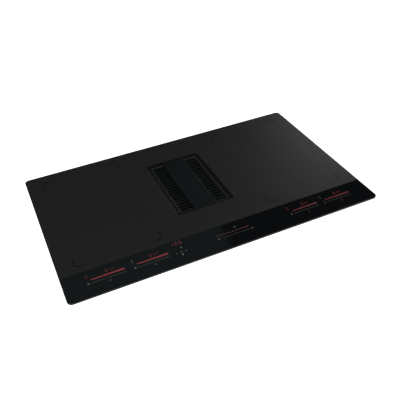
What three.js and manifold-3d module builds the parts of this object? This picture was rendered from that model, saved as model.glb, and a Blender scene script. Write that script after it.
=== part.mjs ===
// Downdraft induction cooktop: a glass hob with an extractor in its middle, in millimetres, +Z up.
// The origin is the centre of the bounding box's bottom face. The hob's front edge faces -Y.

import * as THREE from "three";
import { mergeVertices } from "three/addons/utils/BufferGeometryUtils.js";
import Module from "manifold-3d";

const wasm = await Module();
wasm.setup();

// ---------------------------------------------------------------- driving dimensions
// general
const SEAT = 0.3; // gap between a piece and what carries it
const CORNER_STEPS = 3; // facets in a rounded corner
const ROUND = 28; // facets of a large round piece
const PAST = 1; // how far a cutting body runs past the face it cuts

// glass top
const GLASS = { w: 830, d: 515, t: 4, r: 12 };
const HOB_H = 214; // base of the plenum to the top of the glass
const SEAL = { t: 2, w: 9, inset: 1 };

// extraction opening in the glass
const OPENING = { x: -2.5, y: 38, w: 162, d: 251, r: 7 };
const MOUTH = { w: 137, d: 220, r: 5 }; // inside the sloped ledge
const LEDGE = { drop: 3, slope: 1.2 }; // below the glass at its outer edge, and down to the mouth
const COLLAR = { flange: 14, flangeT: 3.3, wall: 6.5, seatW: 3, seatT: 3 };

// grille
const GRILLE = { t: 5.8, rim: 3.2, slotW: 33, slotD: 7.2, pitch: 12.8, slots: 17 };
const PLATE = { w: 64, t: 2.2, sink: 0.4, endGap: 0.6, r: 2.5, bossR: 4, bossPitch: 60, bosses: 4 };

// intake well, grease filter and drip tray
const WELL = { clear: 1, wall: 2, below: 30, flange: 14, flangeT: 2.5, topT: 3, ledgeW: 7, ledgeT: 2 };
const FILTER = { gap: 2, h: 23, wall: 2, lip: 4, lipT: 1.5, drop: 42.7, r: 2.4 };
const MESH = { h: 15, t: 1.2, pleats: 12 };
const HANDLE = { h: 12, r: 2, bend: 6, footW: 5.4, footD: 12, footT: 1.5, steps: 18, sides: 6 };
const DRIP = { gap: 2.5, h: 30, wall: 1.5, r: 9 };

// tray housing, hung under the glass
const OVERHANG = { side: 17, end: 17.5 }; // how far the glass reaches past the tray
const TRAY = { r: 10, t: 1.2, depth: 59.7, lip: 10, hole: 2 };
const VENT = { w: 4, h: 22, pitch: 12, count: 6, lift: 22 };
const FAN_VENT = { w: 60, d: 6, pitch: 12, count: 5 };
const BRACKET = { w: 30, t: 2, h: 45, lift: 5, foot: 14, footLift: 16, y: 150 };

// plenum: a chamber that reaches past the well, and a flat channel that reaches past the blower's axis
const PLENUM = { wall: 2.5, r: 12, left: 37, right: 34, back: 20, flange: 8, flangeT: 2.8 };
const CHANNEL = { right: 120, front: 77, back: 87 };
const INLET_R = 66;

// blower, hung under the tray; the casing's mouth is placed from the wheel's axis
const BLOWER = { x: 240, y: -15, wall: 2.5, h: 85.7, split: 43.7, hang: 23.2 };
const SCROLL = { r0: 98, r1: 138, tongue: 70, steps: 28, lead: 8, mouthY: 165, mouthX: 28, mouthW: 222 };
const RING = { outer: 78, t: 2, lip: 11, lipT: 2, lipR: 2, throat: 62 };
const WHEEL = { r: 88, lift: 15.9, h: 57, back: 2, ring: 3 };
const BLADE = { count: 26, in: 69, short: 2, t: 1.6, lean: 38 };
const ROTOR = { r: 50, h: 50, wall: 3 };
const STATOR = { gap: 3, neck: 16 };
const SHAFT_R = 4;
const MOUNT = { r: 58, t: 3, hole: 38, spigot: 3 };

// outlet duct and non-return flap
const DUCT = { w: 222, h: 89, wall: 2.5, length: 90, flange: 8, flangeT: 3, bead: 1.5, beadW: 6 };
const FLAP = { seatY: 4, seatW: 4, seatT: 2, t: 1.6, side: 1.5, foot: 2, barrel: 3.6, drop: 5.5 };
const PIN_R = 2;

// side compartments: their middles lie this far in from the tray's sides
const SIDE_IN = 134.5;

// induction coils: two on a plate in each side compartment, behind the controls
const COIL = { w: 200, r: 50, t: 5.6, edge: 8.5, apart: 11 };
const EYE = { w: 66, d: 38, r: 16 };
const FORMER = { side: 3, end: 2, r: 52, t: 3, barT: 3.7, barW: 12, barIn: 20, bars: 8, hubR: 20 };
const SENSOR = { r: 7, t: 5.6 };
const MICA = { t: 0.8, side: 3, end: 2, r: 14 }; // smaller than the coil plate by this
const COIL_PLATE = { w: 232, front: 35, back: 15, t: 1.5, r: 8, leg: 14, legT: 1.5, holeR: 22 };

// power electronics, placed from the compartment's middle, the tray's ends and the fan
const BOARD = { w: 212, t: 1.6, lift: 8.5, front: 100, back: 36, postR: 3, postIn: 9 };
const SINK = { w: 70, gap: 3.3, base: 5, fins: 9, finT: 2, in: 41.5, front: 25, back: 41 };
const CHOKE = { r: 20, h: 22, bore: 9, out: 56.5, back: 56 };
const FAN = { size: 80, h: 20, hole: 37.5, r: 5, out: 36.5, back: 68 };
const STRUT = { w: 4, t: 2.5, bossR: 13, rise: 1 };
const FAN_WHEEL = { r: 36, hub: 15, h: 14.5, root: 1, tilt: 38, pinR: 2 };
const VANE = { count: 7, t: 1.6, h: 11 };

// touch controls
const CONTROL = { side: 26, d: 46, front: 35, boardT: 1.6, carrierT: 4, drop: 15.7, leg: 10, legs: 4 };
const GUIDE = { t: 3, foot: 8, windowD: 12, back: 2 };
const SLIDE = { w: 82, left: [-45.5, 63.5], right: [-43.5, 57.5] }; // from the compartments' middles
const DIGITS = { x: -133, w: 36 };
const CENTRE_KEYS = { x: 12, w: 100 };

// mains connection
const TERMINAL = { w: 50, d: 64, h: 32, wall: 2, gap: 3.5, back: 38, lidT: 2 }; // gap to the coil plate
const GLAND = { r: 11, nutR: 14, h: 16, nutT: 5, bore: 5, sides: 6 };

// ---------------------------------------------------------------- levels worked out from them
const GLASS_Z = HOB_H - GLASS.t;
const UNDER_GLASS = GLASS_Z - SEAT;
const WORKTOP_Z = GLASS_Z - SEAL.t;
const LEDGE_Z = HOB_H - LEDGE.drop;
const MOUTH_Z = LEDGE_Z - LEDGE.slope;
const GRILLE_SEAT_Z = MOUTH_Z - COLLAR.wall;
const COLLAR_Z = GRILLE_SEAT_Z - COLLAR.seatT;
const FILTER_Z = GRILLE_SEAT_Z - FILTER.drop;
const TRAY_Z = UNDER_GLASS - TRAY.depth;
const FLOOR_Z = TRAY_Z + TRAY.t + SEAT; // where pieces stand in the tray
const WELL_FOOT = TRAY_Z - WELL.below;
const CASING_TOP = TRAY_Z - BLOWER.hang;
const CASING_Z = CASING_TOP - BLOWER.h; // underside of the scroll casing
const SPLIT_Z = CASING_Z + BLOWER.split;
const TUB_TOP = CASING_Z - SEAT - PLENUM.wall - SEAT;
const WHEEL_Z = CASING_Z + WHEEL.lift;
const MICA_Z = UNDER_GLASS - MICA.t;
const COIL_Z = MICA_Z - SEAT - COIL.t;
const FORMER_Z = COIL_Z - SEAT - FORMER.barT - FORMER.t;
const COIL_PLATE_Z = FORMER_Z - SEAT - COIL_PLATE.t;
const BOARD_Z = FLOOR_Z + BOARD.lift;
const SINK_Z = BOARD_Z + BOARD.t + SEAT;
const CARRIER_Z = UNDER_GLASS - CONTROL.drop;

// ---------------------------------------------------------------- the tray's plan worked out from them
const TRAY_OUT = { w: GLASS.w - 2 * OVERHANG.side, d: GLASS.d - 2 * OVERHANG.end, r: TRAY.r };
const FRONT = -TRAY_OUT.d / 2;
const BACK = TRAY_OUT.d / 2;
const SIDE_X = TRAY_OUT.w / 2 - SIDE_IN; // middle of a side's coils and power board
const CONTROL_W = TRAY_OUT.w - 2 * CONTROL.side;
const CONTROL_Y = FRONT + CONTROL.front;
const HEATED = { front: CONTROL_Y + CONTROL.d / 2 + COIL_PLATE.front, back: BACK - COIL_PLATE.back };
const COIL_D = (HEATED.back - HEATED.front - COIL.apart) / 2 - COIL.edge;
const COIL_Y = [HEATED.front + COIL.edge + COIL_D / 2, HEATED.back - COIL.edge - COIL_D / 2];
const FAN_X = SIDE_X + FAN.out;
const FAN_Y = BACK - FAN.back;
const POWER = { front: FRONT + BOARD.front, back: FAN_Y - FAN.size / 2 - BOARD.back };
const COOLED = { front: POWER.front + SINK.front, back: POWER.back - SINK.back };
const TERMINAL_X = COIL_PLATE.w / 2 + TERMINAL.gap + TERMINAL.w / 2 - SIDE_X;
const TERMINAL_Y = BACK - TERMINAL.back;
const middle = ({ front, back }) => (front + back) / 2;
const depth = ({ front, back }) => back - front;

// ---------------------------------------------------------------- finishes
const FINISH = {
  glass: { color: 0x17191a, roughness: 0.45, metalness: 0 },
  foam: { color: 0x2b2b2b, roughness: 0.95, metalness: 0 },
  blackPlastic: { color: 0x1b1c1d, roughness: 0.55, metalness: 0 },
  blackMetal: { color: 0x15181a, roughness: 0.4, metalness: 0.3 },
  greyPlastic: { color: 0x4a4d50, roughness: 0.6, metalness: 0 },
  galvanised: { color: 0x9aa0a4, roughness: 0.45, metalness: 0.9 },
  aluminium: { color: 0xb9bdc0, roughness: 0.4, metalness: 0.95 },
  steel: { color: 0xa7a9ab, roughness: 0.3, metalness: 1 },
  copper: { color: 0xa4552a, roughness: 0.45, metalness: 0.8 },
  ferrite: { color: 0x2d2a28, roughness: 0.8, metalness: 0 },
  mica: { color: 0xc9bd9d, roughness: 0.7, metalness: 0 },
  circuit: { color: 0x1d5a34, roughness: 0.5, metalness: 0 },
  clear: { color: 0xdfe3e6, roughness: 0.25, metalness: 0 },
};

// ---------------------------------------------------------------- shapes and solids
/** A three.js geometry as a solid that can be joined and cut. */
function solid(geometry) {
  const bare = geometry.clone();
  bare.deleteAttribute("normal");
  bare.deleteAttribute("uv");
  const merged = mergeVertices(bare, 1e-4);
  const vertProperties = new Float32Array(merged.attributes.position.array);
  const triVerts = new Uint32Array(merged.index.array);
  return new wasm.Manifold(new wasm.Mesh({ numProp: 3, vertProperties, triVerts }));
}

/** The geometry of a joined or cut solid. */
function geometryOf(body) {
  const mesh = body.getMesh();
  const geometry = new THREE.BufferGeometry();
  geometry.setAttribute("position", new THREE.BufferAttribute(mesh.vertProperties, 3));
  geometry.setIndex(new THREE.BufferAttribute(mesh.triVerts, 1));
  geometry.computeVertexNormals();
  return geometry;
}

const join = (bodies) => bodies.reduce((whole, body) => whole.add(body));
const cut = (body, tools) => tools.reduce((rest, tool) => rest.subtract(tool), body);

/** A rounded rectangle as a shape, centred on (x, y). */
function roundedRect({ w, d, r }, x = 0, y = 0, shape = new THREE.Shape()) {
  const right = x + w / 2 - r;
  const left = x - w / 2 + r;
  const back = y + d / 2 - r;
  const front = y - d / 2 + r;
  shape.absarc(right, back, r, 0, Math.PI / 2);
  shape.absarc(left, back, r, Math.PI / 2, Math.PI);
  shape.absarc(left, front, r, Math.PI, 1.5 * Math.PI);
  shape.absarc(right, front, r, 1.5 * Math.PI, 2 * Math.PI);
  return shape;
}

/** A shape through the given corners, each rounded off. */
function roundedOutline(corners, r) {
  const shape = new THREE.Shape();
  const points = corners.map(([x, y]) => new THREE.Vector2(x, y));
  points.forEach((corner, i) => {
    const before = points.at(i - 1).clone().sub(corner).setLength(r).add(corner);
    const after = points[(i + 1) % points.length].clone().sub(corner).setLength(r).add(corner);
    if (i === 0) {
      shape.moveTo(before.x, before.y);
    } else {
      shape.lineTo(before.x, before.y);
    }
    shape.quadraticCurveTo(corner.x, corner.y, after.x, after.y);
  });
  return shape;
}

/** A shape raised from one height to another. */
function slab(shape, z0, z1) {
  const options = { depth: z1 - z0, bevelEnabled: false, curveSegments: CORNER_STEPS };
  return solid(new THREE.ExtrudeGeometry(shape, options).translate(0, 0, z0));
}

/** A rounded-rectangular plate of the given outline, centred on (x, y). */
const plate = (outline, z0, z1, x = 0, y = 0) => slab(roundedRect(outline, x, y), z0, z1);

/** A plain block between two corners. */
function block(x0, x1, y0, y1, z0, z1) {
  const box = new THREE.BoxGeometry(x1 - x0, y1 - y0, z1 - z0);
  return solid(box.translate((x0 + x1) / 2, (y0 + y1) / 2, (z0 + z1) / 2));
}

/** An upright round bar centred on (x, y). */
function bar(r, z0, z1, x = 0, y = 0, sides = ROUND) {
  const round = new THREE.CylinderGeometry(r, r, z1 - z0, sides).rotateX(Math.PI / 2);
  return solid(round.translate(x, y, (z0 + z1) / 2));
}

/** A round bar along X, centred on (y, z). */
function crossBar(r, x0, x1, y, z, sides = 16) {
  const round = new THREE.CylinderGeometry(r, r, x1 - x0, sides).rotateZ(Math.PI / 2);
  return solid(round.translate((x0 + x1) / 2, y, z));
}

/** A profile of [radius, height] points turned about the upright axis. */
function turned(profile, sides = ROUND) {
  const points = profile.map(([r, z]) => new THREE.Vector2(r, z));
  return solid(new THREE.LatheGeometry(points, sides).rotateX(Math.PI / 2));
}

/** One rounded-rectangular ring of points at a height, anticlockwise from above. */
function ringPoints([w, d, r, z]) {
  const points = [];
  const centres = [[1, 1], [-1, 1], [-1, -1], [1, -1]];
  centres.forEach(([sx, sy], corner) => {
    for (let i = 0; i <= CORNER_STEPS; i += 1) {
      const angle = (corner + i / CORNER_STEPS) * (Math.PI / 2);
      const x = sx * (w / 2 - r) + r * Math.cos(angle);
      const y = sy * (d / 2 - r) + r * Math.sin(angle);
      points.push([x, y, z]);
    }
  });
  return points;
}

/** A frame: rounded rectangles [w, d, r, z] joined one to the next and the last to the first. */
function frame(sections) {
  const rings = sections.map(ringPoints);
  const count = rings[0].length;
  const positions = rings.flat(2);
  const index = [];
  rings.forEach((_, s) => {
    const next = (s + 1) % rings.length;
    for (let i = 0; i < count; i += 1) {
      const j = (i + 1) % count;
      const [a, b, c, d] = [s * count + i, s * count + j, next * count + j, next * count + i];
      index.push(a, b, c, a, c, d);
    }
  });
  const geometry = new THREE.BufferGeometry();
  geometry.setAttribute("position", new THREE.Float32BufferAttribute(positions, 3));
  geometry.setIndex(index);
  return solid(geometry);
}

/** A named mesh of one solid in its own finish. */
function piece(name, body, finish) {
  const mesh = new THREE.Mesh(geometryOf(body), new THREE.MeshStandardMaterial(FINISH[finish]));
  mesh.name = name;
  return mesh;
}

/** A group at a place that holds the given meshes or groups. */
function assembly(x, y, z, members) {
  const group = new THREE.Group();
  group.position.set(x, y, z);
  group.add(...members);
  return group;
}

const inset = ({ w, d, r }, by) => ({ w: w - 2 * by, d: d - 2 * by, r: Math.max(r - by, 0.5) });
const section = ({ w, d, r }, z) => [w, d, r, z];

// ---------------------------------------------------------------- glass top and seal
function makeTop() {
  const hole = roundedRect(OPENING, OPENING.x, OPENING.y, new THREE.Path());
  const pane = roundedRect(GLASS);
  pane.holes.push(hole);
  const rim = inset(GLASS, SEAL.inset);
  const inner = inset(rim, SEAL.w);
  const seal = frame([
    section(rim, WORKTOP_Z),
    section(rim, UNDER_GLASS),
    section(inner, UNDER_GLASS),
    section(inner, WORKTOP_Z),
  ]);
  return [piece("glass_top", slab(pane, GLASS_Z, HOB_H), "glass"), piece("glass_seal", seal, "foam")];
}

// ---------------------------------------------------------------- intake: collar, grille, well
const COLLAR_OUTER = inset(OPENING, SEAT);
const GRILLE_SEAT = inset(MOUTH, COLLAR.seatW);
const COLLAR_WALL = inset(MOUTH, -COLLAR.wall);
const COLLAR_FLANGE = inset(OPENING, -COLLAR.flange);
const WELL_IN = inset(GRILLE_SEAT, -WELL.clear);
const WELL_OUT = inset(WELL_IN, -WELL.wall);
const WELL_LEDGE = inset(WELL_IN, WELL.ledgeW);
const FILTER_OUT = { ...inset(GRILLE_SEAT, FILTER.gap), r: FILTER.r };

/** The sloped ledge round the opening, its flange under the glass and the grille's seat. */
function makeCollar() {
  const flangeZ = UNDER_GLASS - COLLAR.flangeT;
  return frame([
    section(COLLAR_WALL, COLLAR_Z),
    section(COLLAR_WALL, flangeZ),
    section(COLLAR_FLANGE, flangeZ),
    section(COLLAR_FLANGE, UNDER_GLASS),
    section(COLLAR_OUTER, UNDER_GLASS),
    section(COLLAR_OUTER, LEDGE_Z),
    section(MOUTH, MOUTH_Z),
    section(MOUTH, GRILLE_SEAT_Z),
    section(GRILLE_SEAT, GRILLE_SEAT_Z),
    section(GRILLE_SEAT, COLLAR_Z),
  ]);
}

/** The slotted grille: two columns of cross slots, one on each side of the centre plate. */
function makeGrille() {
  const z0 = GRILLE_SEAT_Z + SEAT;
  const outline = inset(MOUTH, SEAT);
  const slotX = outline.w / 2 - GRILLE.rim - GRILLE.slotW / 2;
  const slots = [];
  for (const side of [-1, 1]) {
    const across = [side * slotX - GRILLE.slotW / 2, side * slotX + GRILLE.slotW / 2];
    for (let i = 0; i < GRILLE.slots; i += 1) {
      const y = (i - (GRILLE.slots - 1) / 2) * GRILLE.pitch;
      const along = [y - GRILLE.slotD / 2, y + GRILLE.slotD / 2];
      slots.push(block(...across, ...along, z0 - PAST, z0 + GRILLE.t + PAST));
    }
  }
  return cut(plate(outline, z0, z0 + GRILLE.t), slots);
}

/** The smooth plate over the grille's middle, on bosses that stand on the grille. */
function makeCentrePlate() {
  const top = HOB_H - PLATE.sink;
  const foot = GRILLE_SEAT_Z + SEAT + GRILLE.t + SEAT;
  const outline = { w: PLATE.w, d: OPENING.d - 2 * PLATE.endGap, r: PLATE.r };
  const bosses = Array.from({ length: PLATE.bosses }, (_, i) => {
    const y = (i - (PLATE.bosses - 1) / 2) * PLATE.bossPitch;
    return bar(PLATE.bossR, foot, top - PLATE.t / 2, 0, y, 16);
  });
  return join([plate(outline, top - PLATE.t, top), ...bosses]);
}

/** The well: a duct from the collar down into the plenum, with a ledge for the grease filter. */
function makeWell() {
  const top = COLLAR_Z - SEAT;
  const shoulder = top - WELL.topT;
  const ledge = FILTER_Z - SEAT;
  const flange = inset(WELL_OUT, -WELL.flange);
  return frame([
    section(WELL_OUT, WELL_FOOT),
    section(WELL_OUT, FLOOR_Z),
    section(flange, FLOOR_Z),
    section(flange, FLOOR_Z + WELL.flangeT),
    section(WELL_OUT, FLOOR_Z + WELL.flangeT),
    section(WELL_OUT, shoulder),
    section(COLLAR_WALL, shoulder),
    section(COLLAR_WALL, top),
    section(WELL_IN, top),
    section(WELL_IN, ledge),
    section(WELL_LEDGE, ledge),
    section(WELL_LEDGE, ledge - WELL.ledgeT),
    section(WELL_IN, ledge - WELL.ledgeT),
    section(WELL_IN, WELL_FOOT),
  ]);
}

/** The grease filter: a channel frame round a pleated mesh pack, and its bail handle. */
function makeFilter() {
  const { h, wall, lip, lipT } = FILTER;
  const z = FILTER_Z;
  const inner = inset(FILTER_OUT, wall);
  const lipIn = inset(FILTER_OUT, wall + lip);
  const channel = frame([
    section(FILTER_OUT, z),
    section(FILTER_OUT, z + h),
    section(lipIn, z + h),
    section(lipIn, z + h - lipT),
    section(inner, z + h - lipT),
    section(inner, z + lipT),
    section(lipIn, z + lipT),
    section(lipIn, z),
  ]);
  return [
    piece("filter_frame", channel, "steel"),
    piece("filter_mesh", makePleats(inset(inner, SEAT)), "aluminium"),
    piece("filter_handle", makeHandle(z + h + SEAT), "steel"),
  ];
}

/** A zigzag sheet with its folds along X, as wide and deep as the outline. */
function makePleats({ w, d }) {
  const low = FILTER_Z + FILTER.lipT + SEAT;
  const step = d / (2 * MESH.pleats);
  const edge = Array.from({ length: 2 * MESH.pleats + 1 }, (_, i) => [i * step - d / 2, i % 2]);
  const lower = edge.map(([y, up]) => new THREE.Vector2(y, low + up * MESH.h));
  const upper = edge.map(([y, up]) => new THREE.Vector2(y, low + up * MESH.h + MESH.t)).reverse();
  const zigzag = new THREE.Shape([...lower, ...upper]);
  const sheet = new THREE.ExtrudeGeometry(zigzag, { depth: w, bevelEnabled: false });
  sheet.rotateX(Math.PI / 2).rotateZ(Math.PI / 2);
  return solid(sheet.translate(-w / 2, 0, 0));
}

/** A bail of round rod across the filter, its two flat feet on the frame's lips. */
function makeHandle(z0) {
  const half = (FILTER_OUT.w - FILTER.wall - FILTER.lip) / 2;
  const low = z0 + HANDLE.footT / 2;
  const top = low + HANDLE.h;
  const { bend, footW, footD, footT } = HANDLE;
  const points = [
    [-half, low],
    [-half, top - bend],
    [-half + bend, top],
    [half - bend, top],
    [half, top - bend],
    [half, low],
  ].map(([x, z]) => new THREE.Vector3(x, 0, z));
  const path = new THREE.CurvePath();
  points.slice(1).forEach((end, i) => path.add(new THREE.LineCurve3(points[i], end)));
  const round = new THREE.Shape().absarc(0, 0, HANDLE.r, 0, 2 * Math.PI);
  const sweep = { steps: HANDLE.steps, curveSegments: HANDLE.sides, extrudePath: path, bevelEnabled: false };
  const rod = solid(new THREE.ExtrudeGeometry(round, sweep));
  const feet = [-half, half].map((x) => {
    return block(x - footW / 2, x + footW / 2, -footD / 2, footD / 2, z0, z0 + footT);
  });
  return join([rod, ...feet]);
}

/** The drip tray under the well: small enough to lift out past the filter's ledge. */
function makeDripTray() {
  const outline = { ...inset(WELL_LEDGE, DRIP.gap), r: DRIP.r };
  const z0 = PLENUM.wall + SEAT;
  const hollow = plate(inset(outline, DRIP.wall), z0 + DRIP.wall, z0 + DRIP.h + PAST);
  return cut(plate(outline, z0, z0 + DRIP.h), [hollow]);
}

function makeIntake() {
  return assembly(OPENING.x, OPENING.y, 0, [
    piece("intake_collar", makeCollar(), "blackMetal"),
    piece("grille_frame", makeGrille(), "blackMetal"),
    piece("grille_centre_plate", makeCentrePlate(), "blackMetal"),
    piece("intake_well", makeWell(), "blackPlastic"),
    ...makeFilter(),
    piece("drip_tray", makeDripTray(), "greyPlastic"),
  ]);
}

// ---------------------------------------------------------------- tray housing and brackets
function makeTray() {
  const top = UNDER_GLASS;
  const inner = inset(TRAY_OUT, TRAY.t);
  const body = plate(TRAY_OUT, TRAY_Z, top);
  const hollow = plate(inner, TRAY_Z + TRAY.t, top - TRAY.t);
  const mouth = plate(inset(TRAY_OUT, TRAY.lip), top - 2 * TRAY.t, top + PAST);
  const wellHole = inset(WELL_OUT, -TRAY.hole);
  const tools = [hollow, mouth, plate(wellHole, TRAY_Z - PAST, FLOOR_Z, OPENING.x, OPENING.y)];
  tools.push(bar(GLAND.r + SEAT, TRAY_Z - PAST, FLOOR_Z, TERMINAL_X, TERMINAL_Y, 24));
  const wall = [FRONT - PAST, FRONT + TRAY.t + PAST];
  const height = [TRAY_Z + VENT.lift - VENT.h / 2, TRAY_Z + VENT.lift + VENT.h / 2];
  for (const side of [-1, 1]) {
    for (let i = 0; i < VENT.count; i += 1) {
      const x = side * SIDE_X + (i - (VENT.count - 1) / 2) * VENT.pitch;
      tools.push(block(x - VENT.w / 2, x + VENT.w / 2, ...wall, ...height));
    }
    for (let i = 0; i < FAN_VENT.count; i += 1) {
      const y = FAN_Y + (i - (FAN_VENT.count - 1) / 2) * FAN_VENT.pitch;
      const across = [side * FAN_X - FAN_VENT.w / 2, side * FAN_X + FAN_VENT.w / 2];
      tools.push(block(...across, y - FAN_VENT.d / 2, y + FAN_VENT.d / 2, TRAY_Z - PAST, FLOOR_Z));
    }
  }
  return cut(body, tools);
}

/** An angle that holds the hob against the underside of the worktop. */
function makeBracket(side) {
  const near = TRAY_OUT.w / 2 + SEAT;
  const half = BRACKET.w / 2;
  const span = (reach) => (side > 0 ? [near, near + reach] : [-near - reach, -near]);
  const { lift, h, footLift, t } = BRACKET;
  const upright = block(...span(t), -half, half, TRAY_Z + lift, TRAY_Z + lift + h);
  const footZ = TRAY_Z + footLift;
  const foot = block(...span(BRACKET.foot), -half, half, footZ, footZ + t);
  return join([upright, foot]);
}

function makeBrackets() {
  const places = [["front_left", -1, -1], ["front_right", 1, -1], ["back_left", -1, 1], ["back_right", 1, 1]];
  return places.map(([name, side, end]) => {
    return assembly(0, end * BRACKET.y, 0, [piece(`fixing_bracket_${name}`, makeBracket(side), "galvanised")]);
  });
}

// ---------------------------------------------------------------- plenum
/** The chamber round the foot of the well, drawn in by a wall: its two x and its two y. */
function chamberSpan(by) {
  const { left, right, back } = PLENUM;
  const x = [OPENING.x - WELL_OUT.w / 2 - left + by, OPENING.x + WELL_OUT.w / 2 + right - by];
  const y = [BLOWER.y - CHANNEL.front + by, OPENING.y + WELL_OUT.d / 2 + back - by];
  return [...x, ...y];
}

/** The plenum's L-shaped outline: a square chamber and a flat channel under the blower. */
function plenumShape(by) {
  const [x0, x1, y0, y1] = chamberSpan(by);
  const [farX, farY] = [BLOWER.x + CHANNEL.right - by, BLOWER.y + CHANNEL.back - by];
  const corners = [[x0, y0], [farX, y0], [farX, farY], [x1, farY], [x1, y1], [x0, y1]];
  return roundedOutline(corners, PLENUM.r - by);
}

function makePlenum() {
  const { wall, flange, flangeT } = PLENUM;
  const tub = cut(slab(plenumShape(0), 0, TUB_TOP), [slab(plenumShape(wall), wall, TUB_TOP + PAST)]);
  const base = TUB_TOP + SEAT;
  const top = TRAY_Z - SEAT;
  const chamber = (by) => {
    const [x0, x1, y0, y1] = chamberSpan(by);
    return roundedOutline([[x0, y0], [x1, y0], [x1, y1], [x0, y1]], PLENUM.r - by);
  };
  const cover = join([
    slab(plenumShape(0), base, base + wall),
    slab(chamber(0), base, top),
    slab(chamber(-flange), top - flangeT, top),
  ]);
  const hollow = slab(chamber(wall), base - PAST, top + PAST);
  const inlet = bar(INLET_R, base - PAST, base + wall + PAST, BLOWER.x, BLOWER.y);
  return [
    piece("plenum_tub", tub, "blackPlastic"),
    piece("plenum_cover", cut(cover, [hollow, inlet]), "blackPlastic"),
  ];
}

// ---------------------------------------------------------------- blower
/** The scroll's outline about the wheel's axis, drawn in by a wall, its mouth run past by over. */
function scrollShape(by, over) {
  const { mouthX, mouthY, mouthW } = SCROLL;
  const left = mouthX - mouthW / 2;
  const right = mouthX + mouthW / 2 - by;
  const start = (SCROLL.tongue * Math.PI) / 180;
  const points = [];
  for (let i = 0; i <= SCROLL.steps; i += 1) {
    const t = i / SCROLL.steps;
    const angle = start + t * (2 * Math.PI - start);
    const r = SCROLL.r0 + (SCROLL.r1 - SCROLL.r0) * t - by;
    points.push(new THREE.Vector2(Math.min(r * Math.cos(angle), right), r * Math.sin(angle)));
  }
  points.push(new THREE.Vector2(right, mouthY + over));
  points.push(new THREE.Vector2(left + by, mouthY + over));
  // the straight wall from the mouth's left edge back to the tongue
  const tongue = new THREE.Vector2(Math.cos(start), Math.sin(start)).multiplyScalar(SCROLL.r0);
  const corner = new THREE.Vector2(left, mouthY - SCROLL.lead);
  const run = tongue.clone().sub(corner).normalize();
  const inward = new THREE.Vector2(-run.y, run.x).multiplyScalar(by);
  const drop = (by - inward.x) / run.x;
  points.push(corner.clone().add(inward).addScaledVector(run, drop));
  if (by > 0) {
    points.push(tongue.clone().add(inward));
  }
  return new THREE.Shape(points);
}

function makeCasing() {
  const { wall } = BLOWER;
  const inner = scrollShape(wall, PAST);
  const lower = slab(scrollShape(0, 0), CASING_Z, SPLIT_Z);
  const upper = slab(scrollShape(0, 0), SPLIT_Z + SEAT, CASING_TOP);
  const lowerTools = [slab(inner, CASING_Z + wall, SPLIT_Z + PAST)];
  lowerTools.push(bar(INLET_R, CASING_Z - PAST, CASING_Z + wall + PAST));
  const upperTools = [slab(inner, SPLIT_Z - PAST, CASING_TOP - wall)];
  upperTools.push(bar(MOUNT.hole, CASING_TOP - wall - PAST, CASING_TOP + PAST));
  return [
    piece("scroll_lower", cut(lower, lowerTools), "blackPlastic"),
    piece("scroll_upper", cut(upper, upperTools), "blackPlastic"),
  ];
}

/** The inlet ring: a flat flange and a rounded lip that leads the air into the wheel. */
function makeInletRing() {
  const z0 = CASING_Z + BLOWER.wall + SEAT;
  return turned([
    [RING.throat, z0],
    [RING.outer, z0],
    [RING.outer, z0 + RING.t],
    [RING.throat + RING.lipT + RING.lipR, z0 + RING.t],
    [RING.throat + RING.lipT, z0 + RING.t + RING.lipR],
    [RING.throat + RING.lipT, z0 + RING.lip],
    [RING.throat, z0 + RING.lip],
    [RING.throat, z0],
  ]);
}

/** The blower wheel: leaning blades between a bottom ring and a top plate. */
function makeImpeller() {
  const top = WHEEL_Z + WHEEL.h;
  const back = turned([
    [ROTOR.r + SEAT, top - WHEEL.back],
    [WHEEL.r, top - WHEEL.back],
    [WHEEL.r, top],
    [ROTOR.r + SEAT, top],
    [ROTOR.r + SEAT, top - WHEEL.back],
  ]);
  const ring = turned([
    [BLADE.in, WHEEL_Z],
    [WHEEL.r, WHEEL_Z],
    [WHEEL.r, WHEEL_Z + WHEEL.ring],
    [BLADE.in, WHEEL_Z + WHEEL.ring],
    [BLADE.in, WHEEL_Z],
  ]);
  const lean = (BLADE.lean * Math.PI) / 180;
  const chord = (WHEEL.r - BLADE.in - BLADE.short) / Math.cos(lean);
  const blades = Array.from({ length: BLADE.count }, (_, i) => {
    const blade = new THREE.BoxGeometry(chord, BLADE.t, WHEEL.h - WHEEL.back);
    blade.rotateZ(lean).translate((WHEEL.r + BLADE.in) / 2, 0, WHEEL_Z + WHEEL.h / 2);
    return solid(blade.rotateZ((2 * Math.PI * i) / BLADE.count));
  });
  return join([back, ring, ...blades]);
}

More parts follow.
